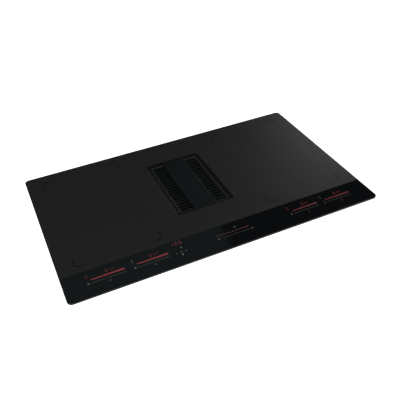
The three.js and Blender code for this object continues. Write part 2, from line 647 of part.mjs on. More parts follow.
/** The motor: a rotor cup that carries the wheel, a fixed stator in it, the shaft and the mount. */
function makeMotor() {
  const rim = WHEEL_Z + WHEEL.h;
  const floor = rim - ROTOR.h;
  const cup = turned([
    [SHAFT_R + SEAT, floor],
    [ROTOR.r, floor],
    [ROTOR.r, rim],
    [ROTOR.r - ROTOR.wall, rim],
    [ROTOR.r - ROTOR.wall, floor + ROTOR.wall],
    [SHAFT_R + SEAT, floor + ROTOR.wall],
    [SHAFT_R + SEAT, floor],
  ]);
  const coreR = ROTOR.r - ROTOR.wall - STATOR.gap;
  const coreZ = floor + ROTOR.wall + STATOR.gap;
  const bore = SHAFT_R + SEAT;
  const stator = turned([
    [bore, coreZ],
    [coreR, coreZ],
    [coreR, rim - STATOR.gap],
    [STATOR.neck, rim - STATOR.gap],
    [STATOR.neck, CASING_TOP - MOUNT.spigot],
    [bore, CASING_TOP - MOUNT.spigot],
    [bore, coreZ],
  ]);
  const mountZ = CASING_TOP + SEAT;
  const mount = turned([
    [bore, CASING_TOP - MOUNT.spigot + SEAT],
    [MOUNT.hole - SEAT, CASING_TOP - MOUNT.spigot + SEAT],
    [MOUNT.hole - SEAT, mountZ],
    [MOUNT.r, mountZ],
    [MOUNT.r, mountZ + MOUNT.t],
    [bore, mountZ + MOUNT.t],
    [bore, CASING_TOP - MOUNT.spigot + SEAT],
  ]);
  return [
    piece("motor_rotor", cup, "galvanised"),
    piece("motor_stator", stator, "copper"),
    piece("motor_shaft", bar(SHAFT_R, floor, mountZ + MOUNT.t, 0, 0, 16), "steel"),
    piece("motor_mount", mount, "galvanised"),
  ];
}

function makeBlower() {
  return assembly(BLOWER.x, BLOWER.y, 0, [
    ...makeCasing(),
    piece("inlet_ring", makeInletRing(), "greyPlastic"),
    piece("impeller", makeImpeller(), "greyPlastic"),
    ...makeMotor(),
  ]);
}

// ---------------------------------------------------------------- outlet duct and flap
const DUCT_Z = CASING_Z + BLOWER.h / 2; // middle of the duct
const DUCT_Y = BLOWER.y + SCROLL.mouthY + SEAT;
const DUCT_END = BLOWER.y + SCROLL.mouthY + DUCT.length;
const PIN_Z = DUCT_Z + DUCT.h / 2 - DUCT.wall - FLAP.drop;
const PIN_Y = DUCT_Y + FLAP.seatY + FLAP.seatT + SEAT + FLAP.barrel;

/** A straight tube of rectangular section along Y, about the duct's middle line. */
function ductBlock(by, y0, y1) {
  const half = DUCT.w / 2 - by;
  return block(-half, half, y0, y1, DUCT_Z - DUCT.h / 2 + by, DUCT_Z + DUCT.h / 2 - by);
}

function makeDuct() {
  const { wall, flange, flangeT, bead, beadW } = DUCT;
  const outer = ductBlock(0, DUCT_Y, DUCT_END);
  const sides = block(-DUCT.w / 2 - flange, DUCT.w / 2 + flange, DUCT_Y, DUCT_Y + flangeT,
    DUCT_Z - DUCT.h / 2, DUCT_Z + DUCT.h / 2 + flange);
  const rim = ductBlock(-bead, DUCT_END - beadW, DUCT_END);
  const seatY = DUCT_Y + FLAP.seatY;
  const bore = [ductBlock(wall, DUCT_Y - PAST, seatY), ductBlock(wall, seatY + FLAP.seatT, DUCT_END + PAST)];
  bore.push(ductBlock(wall + FLAP.seatW, DUCT_Y - PAST, DUCT_END + PAST));
  bore.push(crossBar(PIN_R + SEAT, -DUCT.w, DUCT.w, PIN_Y, PIN_Z));
  return cut(join([outer, sides, rim]), bore);
}

/** The flap: a thin plate hung under a barrel that turns on the pin. */
function makeFlap() {
  const half = DUCT.w / 2 - DUCT.wall - FLAP.side;
  const foot = DUCT_Z - DUCT.h / 2 + DUCT.wall + FLAP.foot;
  const back = PIN_Y - FLAP.barrel;
  const leaf = block(-half, half, back, back + FLAP.t, foot, PIN_Z);
  const barrel = crossBar(FLAP.barrel, -half, half, PIN_Y, PIN_Z);
  return cut(join([leaf, barrel]), [crossBar(PIN_R + SEAT, -DUCT.w, DUCT.w, PIN_Y, PIN_Z)]);
}

function makeOutlet() {
  const pin = crossBar(PIN_R, -DUCT.w / 2, DUCT.w / 2, PIN_Y, PIN_Z);
  return assembly(BLOWER.x + SCROLL.mouthX, 0, 0, [
    piece("outlet_duct", makeDuct(), "blackPlastic"),
    piece("non_return_flap", makeFlap(), "greyPlastic"),
    piece("flap_pin", pin, "steel"),
  ]);
}

// ---------------------------------------------------------------- induction coils
/** One coil: the winding, its former with ferrite bars, and the sensor in its eye. */
function makeCoil(name, x, y) {
  const outline = { w: COIL.w, d: COIL_D, r: COIL.r };
  const winding = frame([
    section(outline, COIL_Z),
    section(outline, COIL_Z + COIL.t),
    section(EYE, COIL_Z + COIL.t),
    section(EYE, COIL_Z),
  ]);
  const base = { w: COIL.w + 2 * FORMER.side, d: COIL_D + 2 * FORMER.end, r: FORMER.r };
  const barZ = FORMER_Z + FORMER.t;
  const bars = Array.from({ length: FORMER.bars }, (_, i) => {
    const angle = (2 * Math.PI * (i + 0.5)) / FORMER.bars;
    const reach = Math.min(base.w / 2 / Math.abs(Math.cos(angle)), base.d / 2 / Math.abs(Math.sin(angle)));
    const length = reach - FORMER.barIn - FORMER.hubR;
    const barBox = new THREE.BoxGeometry(length, FORMER.barW, FORMER.barT + FORMER.t);
    barBox.translate(FORMER.hubR + length / 2, 0, barZ + (FORMER.barT - FORMER.t) / 2);
    return solid(barBox.rotateZ(angle));
  });
  const hub = bar(FORMER.hubR, barZ - FORMER.t / 2, barZ + FORMER.barT, 0, 0, 24);
  const former = join([plate(base, FORMER_Z, barZ), hub, ...bars]);
  return assembly(x, y, 0, [
    piece(`coil_winding_${name}`, winding, "copper"),
    piece(`coil_former_${name}`, former, "ferrite"),
    piece(`coil_sensor_${name}`, bar(SENSOR.r, COIL_Z, COIL_Z + SENSOR.t, 0, 0, 16), "clear"),
  ]);
}

/** The aluminium plate that carries the two coils of one side, on bent legs. */
function makeCoilPlate() {
  const { w, t, r, leg, legT, holeR } = COIL_PLATE;
  const d = depth(HEATED);
  const bodies = [plate({ w, d, r }, COIL_PLATE_Z, COIL_PLATE_Z + t)];
  for (const sx of [-1, 1]) {
    for (const sy of [-1, 1]) {
      const x = sx > 0 ? w / 2 - legT : -w / 2;
      const y = sy * (d / 2 - r - leg);
      bodies.push(block(x, x + legT, y - leg / 2, y + leg / 2, FLOOR_Z, COIL_PLATE_Z + t / 2));
      bodies.push(block(x - (sx > 0 ? leg : 0), x + legT + (sx > 0 ? 0 : leg), y - leg / 2, y + leg / 2,
        FLOOR_Z, FLOOR_Z + legT));
    }
  }
  const holes = COIL_Y.map((y) => {
    return bar(holeR, COIL_PLATE_Z - PAST, COIL_PLATE_Z + t + PAST, 0, y - middle(HEATED), 24);
  });
  return cut(join(bodies), holes);
}

function makeCoilSide(side, sign) {
  const outline = { w: COIL_PLATE.w - 2 * MICA.side, d: depth(HEATED) - 2 * MICA.end, r: MICA.r };
  const sheet = plate(outline, MICA_Z, MICA_Z + MICA.t);
  return [
    makeCoil(`front_${side}`, sign * SIDE_X, COIL_Y[0]),
    makeCoil(`back_${side}`, sign * SIDE_X, COIL_Y[1]),
    assembly(sign * SIDE_X, middle(HEATED), 0, [
      piece(`coil_plate_${side}`, makeCoilPlate(), "aluminium"),
      piece(`mica_sheet_${side}`, sheet, "mica"),
    ]),
  ];
}

// ---------------------------------------------------------------- power electronics
/** A power board on four posts, with its choke. */
function makePowerBoard(sign) {
  const { w, t, postR, postIn } = BOARD;
  const [d, z] = [depth(POWER), BOARD_Z];
  const bodies = [block(-w / 2, w / 2, -d / 2, d / 2, z, z + t)];
  for (const sx of [-1, 1]) {
    for (const sy of [-1, 1]) {
      bodies.push(bar(postR, FLOOR_Z, z + t / 2, sx * (w / 2 - postIn), sy * (d / 2 - postIn), 12));
    }
  }
  const [x, y] = [sign * CHOKE.out, d / 2 - CHOKE.back];
  bodies.push(bar(CHOKE.r, z + t / 2, z + t + CHOKE.h, x, y, 20));
  return cut(join(bodies), [bar(CHOKE.bore, z + t, z + t + CHOKE.h + PAST, x, y, 12)]);
}

/** A comb of fins on a base, extruded along Y. */
function makeHeatSink() {
  const { w, base, fins, finT } = SINK;
  const [d, h] = [depth(COOLED), COIL_PLATE_Z - SINK.gap - SINK_Z];
  const points = [[-w / 2, 0], [w / 2, 0]];
  for (let i = fins - 1; i >= 0; i -= 1) {
    const x = -w / 2 + finT / 2 + (i * (w - finT)) / (fins - 1);
    points.push([x + finT / 2, base], [x + finT / 2, h], [x - finT / 2, h], [x - finT / 2, base]);
  }
  const outline = points.filter(([x, y], i) => i < 2 || y > base || Math.abs(x) < w / 2 - finT / 4);
  const comb = new THREE.Shape(outline.map(([x, y]) => new THREE.Vector2(x, y)));
  const sink = new THREE.ExtrudeGeometry(comb, { depth: d, bevelEnabled: false });
  return solid(sink.rotateX(Math.PI / 2).translate(0, d / 2, SINK_Z));
}

/** A square fan frame with struts to its middle, and the pin that the rotor turns on. */
function makeFanFrame() {
  const top = FLOOR_Z + FAN.h;
  const shell = plate({ w: FAN.size, d: FAN.size, r: FAN.r }, FLOOR_Z, top);
  const ring = cut(shell, [bar(FAN.hole, FLOOR_Z - PAST, top + PAST)]);
  const half = STRUT.w / 2;
  const strutTop = FLOOR_Z + STRUT.t;
  const struts = [
    block(-FAN.hole - PAST, FAN.hole + PAST, -half, half, FLOOR_Z, strutTop),
    block(-half, half, -FAN.hole - PAST, FAN.hole + PAST, FLOOR_Z, strutTop),
  ];
  const boss = bar(STRUT.bossR, FLOOR_Z, strutTop + STRUT.rise, 0, 0, 20);
  const pin = bar(FAN_WHEEL.pinR, FLOOR_Z, strutTop + FAN_WHEEL.h / 2, 0, 0, 12);
  return join([ring, ...struts, boss, pin]);
}

/** A fan rotor: a cup hub with tilted blades. */
function makeFanRotor() {
  const z0 = FLOOR_Z + STRUT.t + STRUT.rise + SEAT;
  const { hub, h, r, root, pinR } = FAN_WHEEL;
  const tilt = (FAN_WHEEL.tilt * Math.PI) / 180;
  const span = r - hub + root;
  const vanes = Array.from({ length: VANE.count }, (_, i) => {
    const vane = new THREE.BoxGeometry(span, VANE.h / Math.cos(tilt), VANE.t);
    vane.rotateX(tilt).translate(hub - root + span / 2, 0, z0 + h / 2);
    return solid(vane.rotateZ((2 * Math.PI * i) / VANE.count));
  });
  const body = join([bar(hub, z0, z0 + h, 0, 0, 24), ...vanes]);
  const sweep = bar(FAN_WHEEL.r, z0, z0 + h, 0, 0, ROUND);
  const bore = bar(pinR + SEAT, z0 - PAST, FLOOR_Z + STRUT.t + h / 2 + SEAT, 0, 0, 12);
  return cut(body.intersect(sweep), [bore]);
}

function makePowerSide(side, sign) {
  return [
    assembly(sign * SIDE_X, middle(POWER), 0, [piece(`power_board_${side}`, makePowerBoard(sign), "circuit")]),
    assembly(sign * (SIDE_X - SINK.in), middle(COOLED), 0, [
      piece(`heat_sink_${side}`, makeHeatSink(), "aluminium"),
    ]),
    assembly(sign * FAN_X, FAN_Y, 0, [
      piece(`cooling_fan_frame_${side}`, makeFanFrame(), "blackPlastic"),
      piece(`cooling_fan_rotor_${side}`, makeFanRotor(), "blackPlastic"),
    ]),
  ];
}

// ---------------------------------------------------------------- touch controls
function makeControls() {
  const { d, carrierT, boardT, leg, legs } = CONTROL;
  const w = CONTROL_W;
  const carrier = [block(-w / 2, w / 2, -d / 2, d / 2, CARRIER_Z, CARRIER_Z + carrierT)];
  for (let i = 0; i < legs; i += 1) {
    const x = (i / (legs - 1) - 0.5) * (w - 2 * leg);
    carrier.push(block(x - leg / 2, x + leg / 2, -d / 2, d / 2, FLOOR_Z, CARRIER_Z + carrierT / 2));
  }
  const boardZ = CARRIER_Z + carrierT + SEAT;
  const board = block(-w / 2, w / 2, -d / 2, d / 2, boardZ, boardZ + boardT);
  const guideTop = UNDER_GLASS;
  const feet = [-1, 1].map((sx) => {
    const x = sx * (w / 2 - GUIDE.foot / 2);
    const foot = [x - GUIDE.foot / 2, x + GUIDE.foot / 2, -d / 2, d / 2];
    return block(...foot, boardZ + boardT + SEAT, guideTop - GUIDE.t / 2);
  });
  const slides = [...SLIDE.left.map((x) => x - SIDE_X), ...SLIDE.right.map((x) => x + SIDE_X)];
  const windows = [DIGITS, CENTRE_KEYS, ...slides.map((x) => ({ x, w: SLIDE.w }))];
  const along = [GUIDE.back - GUIDE.windowD / 2, GUIDE.back + GUIDE.windowD / 2];
  const openings = windows.map((window) => {
    const across = [window.x - window.w / 2, window.x + window.w / 2];
    return block(...across, ...along, guideTop - GUIDE.t - PAST, guideTop + PAST);
  });
  const guide = join([block(-w / 2, w / 2, -d / 2, d / 2, guideTop - GUIDE.t, guideTop), ...feet]);
  return assembly(0, CONTROL_Y, 0, [
    piece("control_carrier", join(carrier), "greyPlastic"),
    piece("control_board", board, "circuit"),
    piece("light_guide", cut(guide, openings), "clear"),
  ]);
}

// ---------------------------------------------------------------- mains connection
function makeTerminal() {
  const { w, d, h, wall, lidT } = TERMINAL;
  const shell = block(-w / 2, w / 2, -d / 2, d / 2, FLOOR_Z, FLOOR_Z + h);
  const [hx, hy] = [w / 2 - wall, d / 2 - wall];
  const hollow = block(-hx, hx, -hy, hy, FLOOR_Z + wall, FLOOR_Z + h + PAST);
  const passage = bar(GLAND.r + SEAT, FLOOR_Z - PAST, FLOOR_Z + wall + PAST, 0, 0, 24);
  const lidZ = FLOOR_Z + h + SEAT;
  const lid = join([
    block(-w / 2, w / 2, -d / 2, d / 2, lidZ, lidZ + lidT),
    block(-hx + SEAT, hx - SEAT, -hy + SEAT, hy - SEAT, lidZ - wall, lidZ + lidT / 2),
  ]);
  const nutZ = TRAY_Z - SEAT;
  const stem = bar(GLAND.r, nutZ - GLAND.nutT / 2, FLOOR_Z + GLAND.h / 2, 0, 0, 24);
  const nut = bar(GLAND.nutR, nutZ - GLAND.nutT, nutZ, 0, 0, GLAND.sides);
  const gland = cut(join([stem, nut]), [bar(GLAND.bore, nutZ - GLAND.h, FLOOR_Z + GLAND.h, 0, 0, 16)]);
  return assembly(TERMINAL_X, TERMINAL_Y, 0, [
    piece("terminal_box", cut(shell, [hollow, passage]), "greyPlastic"),
    piece("terminal_cover", lid, "greyPlastic"),
    piece("cable_gland", gland, "blackPlastic"),
  ]);
}

// ---------------------------------------------------------------- the whole hob
const hob = new THREE.Group();
hob.add(...makeTop(), makeIntake());
hob.add(piece("tray_housing", makeTray(), "galvanised"), ...makeBrackets());
hob.add(...makePlenum(), makeBlower(), makeOutlet());
for (const [side, sign] of [["left", -1], ["right", 1]]) {
  hob.add(...makeCoilSide(side, sign), ...makePowerSide(side, sign));
}
hob.add(makeControls(), makeTerminal());

export default hob;
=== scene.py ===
"""Looks of a downdraft induction cooktop: a black glass hob with an extractor grille in its middle.

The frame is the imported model's: metres, +X to the right, +Y to the back edge, +Z up. The classes keep
their sizes in millimetres, as the part's own source does, and Skin turns them into metres.
"""

import logging
import math
from dataclasses import dataclass
from enum import Enum
from typing import Any, Sequence

import bpy
import numpy as np
from mathutils import Matrix, Vector


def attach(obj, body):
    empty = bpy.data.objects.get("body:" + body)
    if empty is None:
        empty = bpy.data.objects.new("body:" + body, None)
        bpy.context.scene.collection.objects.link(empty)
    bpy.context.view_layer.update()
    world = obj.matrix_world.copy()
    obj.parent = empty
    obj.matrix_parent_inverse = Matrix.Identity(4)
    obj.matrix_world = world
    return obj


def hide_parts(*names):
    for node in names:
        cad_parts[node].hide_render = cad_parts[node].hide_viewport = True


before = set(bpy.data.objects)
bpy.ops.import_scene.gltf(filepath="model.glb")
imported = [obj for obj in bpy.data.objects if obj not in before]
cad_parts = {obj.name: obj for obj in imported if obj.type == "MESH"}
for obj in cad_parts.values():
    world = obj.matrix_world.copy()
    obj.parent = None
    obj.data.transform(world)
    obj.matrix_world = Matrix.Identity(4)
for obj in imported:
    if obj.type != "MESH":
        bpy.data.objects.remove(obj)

LOG = logging.getLogger("cooktop")
MM = 0.001
TURN = 2 * math.pi
SHARP = math.radians(41)  # faces that meet at more than this keep a sharp edge
STEEP = 0.9  # the share of a unit vector along an axis beyond which it counts as lying along it
LEAST_R = 0.05  # the smallest corner radius of an outline that is drawn in
HOLE_STEPS = 14  # facets in each quarter of a round hole
BEND_STEPS = 6  # facets in each corner of a moulding's wall
WELD_DIGITS = 4  # decimals of a millimetre to which points are the same
UP = (0.0, 0.0, 1.0)
WHITE = (1.0, 1.0, 1.0, 1.0)
Colour = tuple[float, float, float]
Points = Sequence[tuple[float, float]]


# ---------------------------------------------------------------------- outlines
def arc(x: float, z: float, r: float, start: float, end: float, steps: int) -> list[tuple[float, float]]:
    """Points of a circular arc in a section.

    Args:
        x: first coordinate of the centre.
        z: second coordinate of the centre.
        r: radius.
        start: first angle in degrees.
        end: last angle in degrees.
        steps: facets.

    Returns:
        A list of (x, z).
    """
    angle = np.radians(np.linspace(start, end, steps + 1))
    return list(zip(x + r * np.cos(angle), z + r * np.sin(angle)))


@dataclass(frozen=True)
class Outline:
    """A rounded rectangle in plan, in millimetres."""

    w: float
    d: float
    r: float
    x: float = 0.0
    y: float = 0.0

    def inset(self, by: float) -> "Outline":
        """The same outline drawn in on every side.

        Args:
            by: how far, in millimetres; negative grows it.

        Returns:
            The smaller outline.
        """
        return Outline(self.w - 2 * by, self.d - 2 * by, max(self.r - by, LEAST_R), self.x, self.y)

    def edge(self, top: float, r: float, steps: int, sign: int = 1) -> list[tuple["Outline", float]]:
        """A rounded upper edge: at an angle a it is drawn in by r (1 - cos a), r (1 - sin a) from the top.

        Args:
            top: height of the top face.
            r: radius of the edge.
            steps: facets in it.
            sign: 1 if the piece lies inside the outline, -1 if it lies outside.

        Returns:
            Sections from the top face down to the wall.
        """
        return [(self.inset(sign * (r - x)), z) for x, z in arc(0, top - r, r, 90, 0, steps)]

    def ring(self, z: float, steps: int = 8) -> np.ndarray:
        """Points round the outline: four quarter circles, their ends joined by the straight sides.

        Args:
            z: height of the ring.
            steps: facets in each corner.

        Returns:
            An array (points, 3), anticlockwise from above.
        """
        quarter = np.linspace(0, math.pi / 2, steps + 1)
        angle = (np.arange(4)[:, None] * math.pi / 2 + quarter).ravel()
        sign_x = np.repeat([1, -1, -1, 1], steps + 1)
        sign_y = np.repeat([1, 1, -1, -1], steps + 1)
        x = self.x + sign_x * (self.w / 2 - self.r) + self.r * np.cos(angle)
        y = self.y + sign_y * (self.d / 2 - self.r) + self.r * np.sin(angle)
        return np.column_stack([x, y, np.full(x.size, z)])


def rings(sections: Sequence[tuple[Outline, float]], steps: int = 8) -> list[np.ndarray]:
    """The ring of each section, which is an outline with its height."""
    return [outline.ring(z, steps) for outline, z in sections]


def circle(x: float, y: float, r: float, z: float) -> np.ndarray:
    """A round ring: an outline that is nothing but corners."""
    return Outline(2 * r, 2 * r, r, x, y).ring(z, HOLE_STEPS)


def rounded(corners: Points, r: float, z: float) -> np.ndarray:
    """A ring with right-angled corners, each turned as a quarter circle, the hollow ones too.

    Args:
        corners: the sharp corners, anticlockwise.
        r: radius.
        z: height of the ring.

    Returns:
        An array (points, 3).
    """
    sharp = np.array(corners, float)
    before = sharp - np.roll(sharp, 1, axis=0)
    after = np.roll(sharp, -1, axis=0) - sharp
    before /= np.linalg.norm(before, axis=1)[:, None]
    after /= np.linalg.norm(after, axis=1)[:, None]
    centre = sharp + r * (after - before)
    angle = np.linspace(0, math.pi / 2, BEND_STEPS + 1)
    way = -after[:, None] * np.cos(angle)[:, None] + before[:, None] * np.sin(angle)[:, None]
    flat = (centre[:, None] + r * way).reshape(-1, 2)
    return np.column_stack([flat, np.full(len(flat), z)])


# ---------------------------------------------------------------------- meshes
class Skin:
    """The surfaces of one piece, gathered as arrays in millimetres and then made one mesh."""

    def __init__(self) -> None:
        """An empty skin."""
        self.points: list[np.ndarray] = []
        self.faces: list[list[int]] = []
        self.soft: list[bool] = []
        self.slots: list[int] = []
        self.count = 0

    def add(
        self, points: np.ndarray, faces: Sequence[Sequence[int]], soft: bool = True, slot: int = 0
    ) -> None:
        """Adds a patch.

        Args:
            points: an array (n, 3).
            faces: corner numbers within those points.
            soft: whether the faces are shaded smooth.
            slot: which of the piece's materials they take.
        """
        self.faces.extend([[corner + self.count for corner in face] for face in faces])
        self.soft.extend([soft] * len(faces))
        self.slots.extend([slot] * len(faces))
        self.points.append(points)
        self.count += len(points)

    def sheet(
        self, grid: np.ndarray, around: bool = False, closed: bool = False, soft: bool = True, slot: int = 0
    ) -> None:
        """Quads over a grid of points.

        Args:
            grid: an array (rows, columns, 3).
            around: joins the last column to the first.
            closed: joins the last row to the first.
            soft: whether the quads are shaded smooth.
            slot: which of the piece's materials they take.
        """
        rows, columns = grid.shape[:2]
        index = np.arange(rows * columns).reshape(rows, columns)
        if around:
            index = np.hstack([index, index[:, :1]])
        if closed:
            index = np.vstack([index, index[:1]])
        quads = np.stack([index[:-1, :-1], index[:-1, 1:], index[1:, 1:], index[1:, :-1]], axis=-1)
        self.add(grid.reshape(-1, 3), quads.reshape(-1, 4).tolist(), soft, slot)

    def cap(self, ring: np.ndarray, up: bool = True, slot: int = 0) -> None:
        """One flat face over a ring.

        Args:
            ring: an array (n, 3), anticlockwise as seen from above or from the far end.
            up: whether the face looks that way, or else the other way.
            slot: which of the piece's materials it takes.
        """
        order = list(range(len(ring)))
        self.add(ring, [order if up else order[::-1]], False, slot)

    def sweep(
        self, profile: Sequence[np.ndarray], flat: Sequence[int] = (), slots: dict[int, int] | None = None
    ) -> None:
        """A closed profile carried round an outline: each ring is joined to the next one's points.

        Args:
            profile: a ring for each of its points, the last of which joins the first; they go down
                the outside and up the inside, so that the faces look out.
            flat: numbers of the rings after which the band of faces is flat.
            slots: material slots of the bands that don't take the first.
        """
        loop = np.stack([*profile, profile[0]])
        for i in range(len(loop) - 1):
            self.sheet(loop[[i + 1, i]], around=True, soft=i not in flat, slot=(slots or {}).get(i, 0))

    def holed(self, outer: np.ndarray, hole: np.ndarray, up: bool = True) -> None:
        """A flat face with a hole, as two faces that meet on a line through the hole's ends in X.

        Args:
            outer: the outline, an array (n, 3), anticlockwise from above.
            hole: the hole's outline, anticlockwise too.
            up: whether the faces look up.
        """
        middle = hole[:, 1].mean()
        ends = []
        for sign in (-1, 1):
            inner = int(np.argmax(sign * hole[:, 0]))
            outside = sign * (outer[:, 0] - hole[inner, 0]) > 0
            beside = np.where(outside, np.abs(outer[:, 1] - middle), np.inf)
            ends.append((int(np.argmin(beside)), inner))
        for (a, b), (c, d) in (ends, ends[::-1]):
            far = np.roll(outer, -a, axis=0)[: (c - a) % len(outer) + 1]
            near = np.roll(hole, -b, axis=0)[: (d - b) % len(hole) + 1]
            self.cap(np.concatenate([far, near[::-1]]), up)

    def rail(
        self,
        start: Sequence[float],
        end: Sequence[float],
        rise: Sequence[float],
        w: float,
        h: float,
        r: float,
    ) -> None:
        """A straight bar with two rounded edges: its section is carried from one end to the other.

        Args:
            start: middle of the foot at the first end.
            end: middle of the foot at the other end.
            rise: the way that it stands up, a unit vector square to its run.
            w: width across.
            h: height.
            r: radius of its two free edges.
        """
        first, last, up = (np.array(v, float) for v in (start, end, rise))
        run = (last - first) / np.linalg.norm(last - first)
        side = np.cross(run, up)
        left = arc(r - w / 2, h - r, r, 180, 90, steps=3)
        right = arc(w / 2 - r, h - r, r, 90, 0, steps=3)
        across, high = np.array([(-w / 2, 0.0), *left, *right, (w / 2, 0.0)]).T
        ring = across[:, None] * side + high[:, None] * up
        self.sheet(np.stack([first + ring, last + ring]), around=True)
        self.cap(first + ring, up=False)
        self.cap(last + ring)

    def repeat(
        self, pattern: "Skin", places: Sequence[Sequence[float]], axis: Sequence[float]
    ) -> None:
        """Copies of another skin, turned so that its Z looks along an axis.

        Args:
            pattern: what is repeated.
            places: where its origin goes.
            axis: the way that its Z looks, a unit vector.
        """
        up = np.array(axis, float)
        side = np.cross([0.0, 1.0, 0.0] if abs(up[1]) < STEEP else [1.0, 0.0, 0.0], up)
        side /= np.linalg.norm(side)
        turn = np.stack([side, np.cross(up, side), up])
        points = np.concatenate(pattern.points) @ turn
        for place in places:
            base = self.count
            self.points.append(points + np.array(place, float))
            self.faces.extend([[corner + base for corner in face] for face in pattern.faces])
            self.soft.extend(pattern.soft)
            self.slots.extend(pattern.slots)
            self.count += len(points)

    def boxes(self, low: Sequence, high: Sequence) -> None:
        """Upright boxes, all at once.

        Args:
            low: the lowest corner, or an array (n, 3) of them.
            high: the highest corner, or an array (n, 3) of them.
        """
        low, high = np.atleast_2d(low).astype(float), np.atleast_2d(high).astype(float)
        pick = np.array([[i & 1, i >> 1 & 1, i >> 2 & 1] for i in range(8)])
        points = np.where(pick[None], high[:, None], low[:, None]).reshape(-1, 3)
        sides = [[0, 1, 5, 4], [2, 6, 7, 3], [0, 4, 6, 2], [1, 3, 7, 5]]
        faces = np.array([[0, 2, 3, 1], [4, 5, 7, 6], *sides])
        every = (np.arange(len(low))[:, None, None] * 8 + faces).reshape(-1, 4)
        self.add(points, every.tolist(), False)

    def block(self, plan: Outline, z0: float, z1: float, edge: float, slot: int = 0) -> None:
        """A body with upright walls and a rounded upper edge.

        Args:
            plan: its outline.
            z0: underside.
            z1: top.
            edge: radius of the upper edge.
            slot: which of the piece's materials it takes.
        """
        walls = rings([(plan, z0), *plan.edge(z1, edge, steps=3)[::-1]], steps=4)
        self.sheet(np.stack(walls), around=True, slot=slot)
        self.cap(walls[-1], slot=slot)
        self.cap(walls[0], up=False, slot=slot)

    def prism(self, flat: np.ndarray, z0: float, z1: float) -> None:
        """A plate of a plan outline, raised from one height to another.

        Args:
            flat: the outline, an array (n, 2), anticlockwise.
            z0: underside.
            z1: top.
        """
        low = np.column_stack([flat, np.full(len(flat), z0)])
        high = np.column_stack([flat, np.full(len(flat), z1)])
        self.wall(low, high)

    def wall(self, low: np.ndarray, high: np.ndarray) -> None:
        """A plate between two rings: sharp sides, a top and an underside.

        Args:
            low: its lower ring, anticlockwise from above.
            high: its upper ring, with as many points.
        """
        self.sheet(np.stack([low, high]), around=True, soft=False)
        self.cap(high)
        self.cap(low, up=False)

    def turned(
        self, profile: Points, sides: int, centre: tuple[float, float] = (0.0, 0.0), slot: int = 0
    ) -> None:
        """A profile of (radius, height) turned about an upright axis, from the bottom out to the top.

        Args:
            profile: the points; a first or last radius of 0 closes that end.
            sides: facets round the axis.
            centre: where the axis stands in plan.
            slot: which of the piece's materials it takes.
        """
        angle = np.linspace(0, TURN, sides, endpoint=False)
        r, z = np.array(profile, float).T
        x = centre[0] + r[:, None] * np.cos(angle)
        y = centre[1] + r[:, None] * np.sin(angle)
        grid = np.stack([x, y, np.repeat(z[:, None], sides, 1)], axis=-1)
        self.sheet(grid, around=True, slot=slot)

    def tube(self, path: np.ndarray, r: float, sides: int) -> None:
        """A round rod: a circle carried along a path, square to it, with flat ends.

        Args:
            path: the middle line, an array (n, 3).
            r: the rod's radius.
            sides: facets round it.
        """
        run = np.gradient(path, axis=0)
        run /= np.linalg.norm(run, axis=1)[:, None]
        lean = np.where(np.abs(run[:, 2:]) > STEEP, [[0.0, 1.0, 0.0]], [UP])
        side = np.cross(lean, run)
        side /= np.linalg.norm(side, axis=1)[:, None]
        rise = np.cross(run, side)
        angle = np.linspace(0, TURN, sides, endpoint=False)
        ring = np.cos(angle)[:, None, None] * side + np.sin(angle)[:, None, None] * rise
        grid = (path + r * ring).transpose(1, 0, 2)
        self.sheet(grid, around=True)
        self.cap(grid[0], up=False)
        self.cap(grid[-1])

    def merged(self) -> tuple[np.ndarray, list[list[int]], list[int]]:
        """Joins the patches: points that are the same after rounding become one.

        Returns:
            The points, the faces that keep three corners or more, and their numbers.
        """
        places = np.round(np.concatenate(self.points), WELD_DIGITS)
        points, number = np.unique(places, axis=0, return_inverse=True)
        number = number.ravel().tolist()
        faces, kept = [], []
        for i, face in enumerate(self.faces):
            corners = list(dict.fromkeys(number[corner] for corner in face))
            if len(corners) > 2:
                faces.append(corners)
                kept.append(i)
        return points, faces, kept

    def make(self, name: str, *finishes: "Dressing") -> bpy.types.Object:
        """The mesh object, in metres, with its merged points and its materials.

        Args:
            name: the piece's name.
            finishes: one for each slot number.

        Returns:
            The object, linked to the scene at the origin.
        """
        mesh = bpy.data.meshes.new(name)
        points, faces, kept = self.merged()
        mesh.from_pydata((points * MM).tolist(), [], faces)
        mesh.polygons.foreach_set("material_index", np.array(self.slots)[kept])
        for finish in finishes:
            mesh.materials.append(finish.material())
        mesh.set_sharp_from_angle(angle=SHARP)
        mesh.polygons.foreach_set("use_smooth", np.array(self.soft)[kept])
        mesh.update()
        piece = bpy.data.objects.new(name, mesh)
        bpy.context.scene.collection.objects.link(piece)
        return piece


